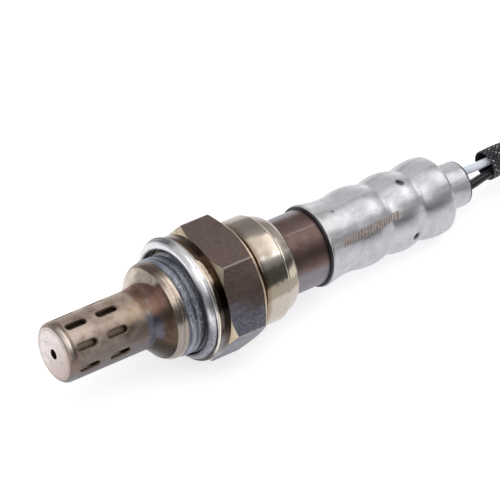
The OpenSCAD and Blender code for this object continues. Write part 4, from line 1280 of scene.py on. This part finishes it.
def sleeve_soft(s):
    """The same, with the joints between its curves eased."""
    w = 0.5
    t, total = 0.0, 0.0
    for k in range(-4, 5):
        q = s + w * k / 4
        f = 1 - abs(k) / 5
        t += f * sleeve_at(max(24.62, min(51.6, q)))
        total += f
    m = ease((s - 25.2) / 0.8) * (1 - ease((s - 50.6) / 0.8))
    return sleeve_at(s) * (1 - m) + t / total * m


def sleeve():
    n = 216
    turn = 4.4 + 45
    bm = bmesh.new()
    angles = [turn + 360 * j / n for j in range(n)]
    lo, hi = 41.8, 45.0
    st1 = [24.6 + (lo - 24.6) * i / 86 for i in range(87)]
    st2 = [hi + (51.6 - hi) * i / 33 for i in range(34)]
    mouth = [(24.33, 7.32), (24.3, 7.36), (24.3, 7.48), (24.36, 7.60), (24.47, 7.665)]
    front = [(s, sleeve_soft(s) - 0.4) for s in reversed(st1)] + mouth + [(s, sleeve_soft(s)) for s in st1]
    add_columns(bm, on_axis, angles, [front] * n, [0] * len(front), closed=False)
    holes = [((4.4 + 90 * k) % 360, 43.4, 0.0, 0.56) for k in range(4)]
    rings = [(0.34, 0.0), (0.20, 0.10), (0.08, 0.28), (0.0, 0.55), (0.0, 0.9), (0.03, 1.0)]
    perforated(bm, n, lo, hi, 14, sleeve_soft, lambda s: sleeve_soft(s) - 0.4, holes, turn, [0, 0, 1], rings)
    tail, _ = rounded([(51.6, sleeve_soft(51.6)), (52.12, 7.16, 0.35), (52.62, 6.72, 0.35), (52.85, 6.1, 0.4), (52.92, 5.1, 0.4),
                       (53.05, 4.62, 0.25), (53.5, 4.25, 0.35), (58.1, 4.24, 0.12), (58.3, 4.12, 0.06), (58.3, 3.84, 0.04), (53.2, 3.84, 0.2),
                       (52.6, 4.3, 0.2), (52.45, 6.0, 0.3), (51.9, 6.75, 0.3), (51.6, sleeve_soft(51.6) - 0.4)], 4)
    back = [(s, sleeve_soft(s)) for s in st2[:-1]] + tail + [(s, sleeve_soft(s) - 0.4) for s in reversed(st2[:-1])]
    add_columns(bm, on_axis, angles, [back] * n, [0] * len(back), closed=False)
    o = finish_mesh(bm, "sleeve_ribbed", [MAT["sleeve"], MAT["hole"]], sharp=45)
    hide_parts("ribbed_sleeve")


sleeve()

o = lathe("grommet", [(38.1, 0.001), (38.1, 5.9, 0.3), (51.6, 5.9, 0.5), (52.3, 5.3, 0.2), (52.35, 3.8, 0.1), (58.32, 3.8), (58.32, 4.14, 0.03),
                      (58.50, 4.14, 0.06), (58.55, 3.8, 0.1), (58.42, 3.1, 0.3), (58.45, 0.001)], [MAT["grommet"]], count=128, sharp=40)
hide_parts("wire_grommet")

# ---------------------------------------------------------------- wires

WIRES = (("wire_white_near", "white_wire", "white_insulation"), ("wire_white_far", "white_wire", "white_insulation"),
         ("wire_black", "black_wire", "black_insulation"), ("wire_grey", "grey_wire", "grey_insulation"))
ENDS = ((-0.04, 8.54), (0.96, 7.34), (-1.74, 7.12), (-0.74, 5.92))
PINS = ((-3.2, 2.9), (3.2, 2.9), (-3.2, -2.9), (3.2, -2.9))


def wires():
    for k, (node, mat, slot) in enumerate(WIRES):
        a = math.radians(180 - 5.1 + (0, -90, 90, 180)[k])
        y, z = 2.1 * math.sin(a), -2.1 * math.cos(a)
        ey, ez = ENDS[k]
        q = place(59, y, z) / MM
        pts = [place(s, y, z) / MM for s in (33.5, 40, 48, 57, 59)]
        for u in (0.25, 0.5, 0.75):
            w = u * u * (3 - 2 * u)
            pts.append(Vector((q.x + u * (49.6 - q.x), q.y + w * (ey - q.y), q.z + w * (ez - q.z) - ST * 1.2 * u * (1 - u))))
        pts += [Vector((49.6, ey, ez)), Vector((50.34, ey, ez)), Vector((52, ey * 0.92, 7.55 + (ez - 7.56) * 0.92)),
                Vector((54.2, ey * 0.9, 7.4 + (ez - 7.56) * 0.9)), Vector((57.2, ey * 0.9, 6.75 + (ez - 7.56) * 0.9))]
        bm = bmesh.new()
        sweep(bm, [p * MM for p in smooth_path(pts, 0.3)], 0.76 * MM, 28)
        p = PINS[k]
        far = [(190.2, p[0] * 0.36, 7.8 + p[1] * 0.4), (191.5, p[0] * 0.36, 7.8 + p[1] * 0.4), (193.5, p[0] * 0.55, 7.8 + p[1] * 0.58),
               (195.5, p[0] * 0.85, 7.8 + p[1] * 0.86), (197, p[0], 7.8 + p[1]), (205, p[0], 7.8 + p[1])]
        sweep(bm, [v * MM for v in smooth_path(far, 0.5)], 0.76 * MM, 20)
        o = finish_mesh(bm, "insulated_" + node, [MAT[mat]], sharp=50)
        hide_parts(node)


wires()

# ---------------------------------------------------------------- braided lead


def weave(turns, along):
    """Height of the braid, 0 to 1, as its material has it."""
    a, b = turns * 20 + along * 1.12, turns * 20 - along * 1.12
    ia, ib = math.floor(a), math.floor(b)
    fa, fb = a - ia, b - ib
    over = (abs(ia + ib) + 0.25) % 2 > 1
    x, y = (fb, fa) if over else (fa, fb)
    hx, hy = 1 - (2 * x - 1) ** 2, 1 - (2 * y - 1) ** 2
    return hx * (0.45 + 0.55 * hy)


def braid():
    fine_to = next(i for i, p in enumerate(route) if p.x > 0.0715)
    fine = respaced(route[:fine_to + 1], 0.00018)
    path = fine + route[fine_to + 1:]
    nf = len(fine)
    fr = frames(path, Vector((0, 0, 1)))
    bm = bmesh.new()
    lay = bm.loops.layers.float_vector.new("lay")
    along = [0.0]
    for a, b in zip(path, path[1:]):
        along.append(along[-1] + (b - a).length / MM)
    R = BRAID_R * MM

    def ring(i, sides, scale=1.0, relief=0.0, shift=0.0):
        p, (t, u, b) = path[i], fr[i]
        out = []
        for k in range(sides):
            a = TAU * k / sides
            wob = 1 + 0.018 * noise.noise(Vector((along[i] * 0.12, math.cos(a) * 0.8, math.sin(a) * 0.8)))
            h = weave(k / sides, along[i]) - 0.55
            r = R * scale * wob * 0.985 + relief * h * 0.11 * MM
            out.append(bm.verts.new(p + t * (shift * MM) + (u * math.cos(a) + b * math.sin(a)) * r))
        return out

    def quad(vs, uvs, mat=0):
        try:
            f = bm.faces.new(vs)
        except ValueError:
            return
        f.material_index = mat
        for loop, (k, m) in zip(f.loops, uvs):
            loop[lay] = Vector((k, m, 0))

    F, C = 100, 50
    rings = [ring(i, F, relief=1.0) for i in range(nf)] + [ring(i, C) for i in range(nf, len(path))]
    for i in range(len(rings) - 1):
        A, B = rings[i], rings[i + 1]
        if len(A) == len(B):
            n = len(A)
            for k in range(n):
                q = (k + 1) % n
                quad((A[k], A[q], B[q], B[k]), ((k / n, along[i]), ((k + 1) / n, along[i]), ((k + 1) / n, along[i + 1]), (k / n, along[i + 1])))
        else:
            for k in range(C):
                q, f0, f1, f2 = (k + 1) % C, 2 * k, 2 * k + 1, (2 * k + 2) % F
                quad((A[f0], A[f1], B[k]), ((k / C, along[i]), ((k + 0.5) / C, along[i]), (k / C, along[i + 1])))
                quad((A[f1], B[q], B[k]), (((k + 0.5) / C, along[i]), ((k + 1) / C, along[i + 1]), (k / C, along[i + 1])))
                quad((A[f1], A[f2], B[q]), (((k + 0.5) / C, along[i]), ((k + 1) / C, along[i]), ((k + 1) / C, along[i + 1])))
    # The far end, inside the boot.
    cap = rings[-1]
    quad(cap, [(k / C, along[-1]) for k in range(C)])
    # The open mouth: a rolled edge, the inner wall and a floor well inside.
    prev, a0 = rings[0], 0.0
    depth = 0
    for scale, shift, at, mat in ((0.99, -0.10, 0, 0), (0.955, -0.15, 0, 0), (0.925, -0.10, 0, 1), (0.912, 0.1, 0, 1), (0.905, 0.0, 12, 1), (0.90, 0.0, 40, 1)):
        cur = ring(at, F, scale=scale, relief=0.6 if mat == 0 else 0.25, shift=shift)
        for k in range(F):
            q = (k + 1) % F
            quad((prev[q], prev[k], cur[k], cur[q]), (((k + 1) / F, a0), (k / F, a0), (k / F, a0 - 0.15), ((k + 1) / F, a0 - 0.15)), mat)
        prev, a0 = cur, a0 - 0.15
    quad(list(prev), [(k / F, a0) for k in range(F)], 1)
    o = finish_mesh(bm, "lead_braid", [MAT["braid"], MAT["braid_inside"]], weld=0)
    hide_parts("braid_run", "braid_hank", "braid_tail")
    return o, path


lead, lead_path = braid()

# ---------------------------------------------------------------- tie, boot and plug


def from_node(node, name, materials, bevel=0.25, segments=2, angle=25):
    """A copy of a CAD node's solid with its edges rounded."""
    bm = bmesh.new()
    bm.from_mesh(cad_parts[node].data)
    bmesh.ops.remove_doubles(bm, verts=bm.verts, dist=1e-6)
    bmesh.ops.dissolve_limit(bm, angle_limit=math.radians(1.5), verts=bm.verts, edges=bm.edges)
    edges = [e for e in bm.edges if len(e.link_faces) == 2 and e.calc_face_angle(0) > math.radians(angle)]
    bmesh.ops.bevel(bm, geom=edges, offset=bevel * MM, segments=segments, profile=0.7, affect="EDGES", clamp_overlap=True)
    bmesh.ops.triangulate(bm, faces=[f for f in bm.faces if len(f.verts) > 4])
    return finish_mesh(bm, name, materials, sharp=32)


tie = from_node("hank_tie", "tie_band", [MAT["tie"]], 0.3, 3)
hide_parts("hank_tie")


def boot_place(s, r, psi):
    a = math.radians(psi)
    return Vector((s, -r * math.sin(a), 7.8 + r * math.cos(a))) * MM


boot = lathe("boot", [(186.6, 2.92), (186.6, 3.5, 0.12), (187.4, 3.72, 0.2), (188.2, 3.78, 0.15), (188.5, 3.5, 0.12), (188.9, 3.5, 0.12),
                      (189.2, 3.86, 0.15), (190.2, 3.94, 0.15), (190.5, 3.62, 0.12), (190.9, 3.62, 0.12), (191.2, 4.05, 0.15),
                      (195, 5.4, 0.8), (197, 6.9, 0.3), (198, 6.9, 0.1), (198, 6.2), (197.2, 6.1), (195.4, 4.7), (191.2, 3.2), (190.4, 2.92)],
             [MAT["boot"]], count=96, place_fn=boot_place, sharp=35)
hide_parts("wire_boot")

plug = from_node("connector_housing", "plug_housing", [MAT["plug"]], 0.22, 2)
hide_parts("connector_housing")

for node, key in (("sensing_element", "ceramic"), ("element_washer", "spring"), ("talc_packing", "talc"), ("support_bush", "ceramic"),
                  ("lock_ring", "spring"), ("heater_rod", "heater"), ("inner_contact", "contact"), ("outer_contact", "contact"),
                  ("heater_contacts", "contact"), ("terminal_insulator", "ceramic"), ("disc_spring", "spring"), ("crimp_terminals", "contact"),
                  ("vent_filter", "filter"), ("connector_wire_seal", "silicone"), ("connector_nose_seal", "silicone"),
                  ("terminal_lock", "lock"), ("connector_terminals", "contact")):
    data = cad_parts[node].data
    for i in range(max(1, len(data.materials))):
        if i < len(data.materials):
            data.materials[i] = MAT[key]
        else:
            data.materials.append(MAT[key])

# ---------------------------------------------------------------- floor, lights and view


def floor():
    bm = bmesh.new()
    n = 24
    size = 3.0
    grid = [[bm.verts.new(((i / n - 0.5) * 2 * size, (j / n - 0.5) * 2 * size, 0)) for j in range(n + 1)] for i in range(n + 1)]
    for i in range(n):
        for j in range(n):
            bm.faces.new((grid[i][j], grid[i + 1][j], grid[i + 1][j + 1], grid[i][j + 1]))
    mesh = bpy.data.meshes.new("floor")
    bm.to_mesh(mesh)
    bm.free()
    o = bpy.data.objects.new("floor", mesh)
    scene.collection.objects.link(o)
    m = Mat("paper", base=(0.60, 0.60, 0.60, 1), rough=0.9)
    m.b.inputs["Specular IOR Level"].default_value = 0.0
    m.b.inputs["Emission Color"].default_value = (0.985, 0.985, 1.0, 1)
    m.b.inputs["Emission Strength"].default_value = 0.72
    mesh.materials.append(m.m)


floor()


def area(name, centre, target, width, height, radiance, colour=(1, 1, 1), glossy=True):
    d = bpy.data.lights.new(name, "AREA")
    d.shape = "RECTANGLE"
    d.size, d.size_y = width, height
    d.energy = radiance * math.pi * width * height
    d.color = colour
    o = bpy.data.objects.new(name, d)
    scene.collection.objects.link(o)
    o.location = centre
    o.rotation_euler = (Vector(target) - Vector(centre)).to_track_quat("-Z", "Y").to_euler()
    o.visible_glossy = glossy
    return o


def up_light(angle, distance, x):
    """A point at this angle from the vertical towards -Y."""
    a = math.radians(angle)
    return (x, -distance * math.sin(a), distance * math.cos(a))


area("softbox", up_light(3.5, 0.62, 0.135), (0.135, 0, 0.01), 0.63, 0.66, 0.86)
far = area("softbox_far", up_light(5.5, 0.62, 0.9), (0.9, 0, 0.01), 0.85, 0.62, 1.9)
far.visible_diffuse = False
core = area("softbox_core", up_light(30, 0.60, -0.005), (-0.005, 0, 0.01), 0.14, 0.32, 2.9)
core.visible_diffuse = False
area("fill_top", (0.1, -0.1, 1.6), (0, 0, 0), 2.4, 2.4, 0.42, glossy=False)

world = bpy.data.worlds.new("studio")
scene.world = world
world.use_nodes = True
wt = world.node_tree
bg = wt.nodes["Background"]
tc = wt.nodes.new("ShaderNodeTexCoord")
sep = wt.nodes.new("ShaderNodeSeparateXYZ")
wt.links.new(tc.outputs["Generated"], sep.inputs[0])
at = wt.nodes.new("ShaderNodeMath")
at.operation = "ARCTAN2"
neg = wt.nodes.new("ShaderNodeMath")
neg.operation = "MULTIPLY"
neg.inputs[1].default_value = -1
wt.links.new(sep.outputs["Y"], neg.inputs[0])
wt.links.new(neg.outputs[0], at.inputs[0])
wt.links.new(sep.outputs["Z"], at.inputs[1])
mr = wt.nodes.new("ShaderNodeMapRange")
mr.inputs["From Min"].default_value = -math.pi / 2
mr.inputs["From Max"].default_value = math.pi / 2
wt.links.new(at.outputs[0], mr.inputs["Value"])
cr = wt.nodes.new("ShaderNodeValToRGB")
e = cr.color_ramp.elements
# From behind (0) over the top (0.5) to the camera's side (1).
e[0].position, e[0].color = 0.0, (0.62, 0.61, 0.62, 1)
e[1].position, e[1].color = 1.0, (0.05, 0.05, 0.055, 1)
for pos, v in ((0.22, 0.52), (0.36, 0.52), (0.44, 0.42), (0.55, 0.42), (0.68, 0.34), (0.76, 0.16), (0.84, 0.10)):
    k = e.new(pos)
    k.color = (v, v, v * 1.02, 1)
wt.links.new(mr.outputs["Result"], cr.inputs["Fac"])
# A soft light ahead of the probe.
ahead = wt.nodes.new("ShaderNodeVectorMath")
ahead.operation = "DOT_PRODUCT"
wt.links.new(tc.outputs["Generated"], ahead.inputs[0])
ahead.inputs[1].default_value = Vector((-0.643, -0.2405, 0.727)).normalized()
glow = wt.nodes.new("ShaderNodeMapRange")
glow.interpolation_type = "SMOOTHSTEP"
for k, v in (("From Min", 0.883), ("From Max", 0.978), ("To Min", 0.0), ("To Max", 1.0)):
    glow.inputs[k].default_value = v
wt.links.new(ahead.outputs["Value"], glow.inputs["Value"])
add = wt.nodes.new("ShaderNodeVectorMath")
add.operation = "ADD"
wt.links.new(cr.outputs["Color"], add.inputs[0])
wt.links.new(glow.outputs["Result"], add.inputs[1])
wt.links.new(add.outputs["Vector"], bg.inputs["Color"])
bg.inputs["Strength"].default_value = 1.0

scene.view_settings.view_transform = "Standard"
scene.view_settings.look = "None"
scene.view_settings.exposure = 0
scene.view_settings.gamma = 1
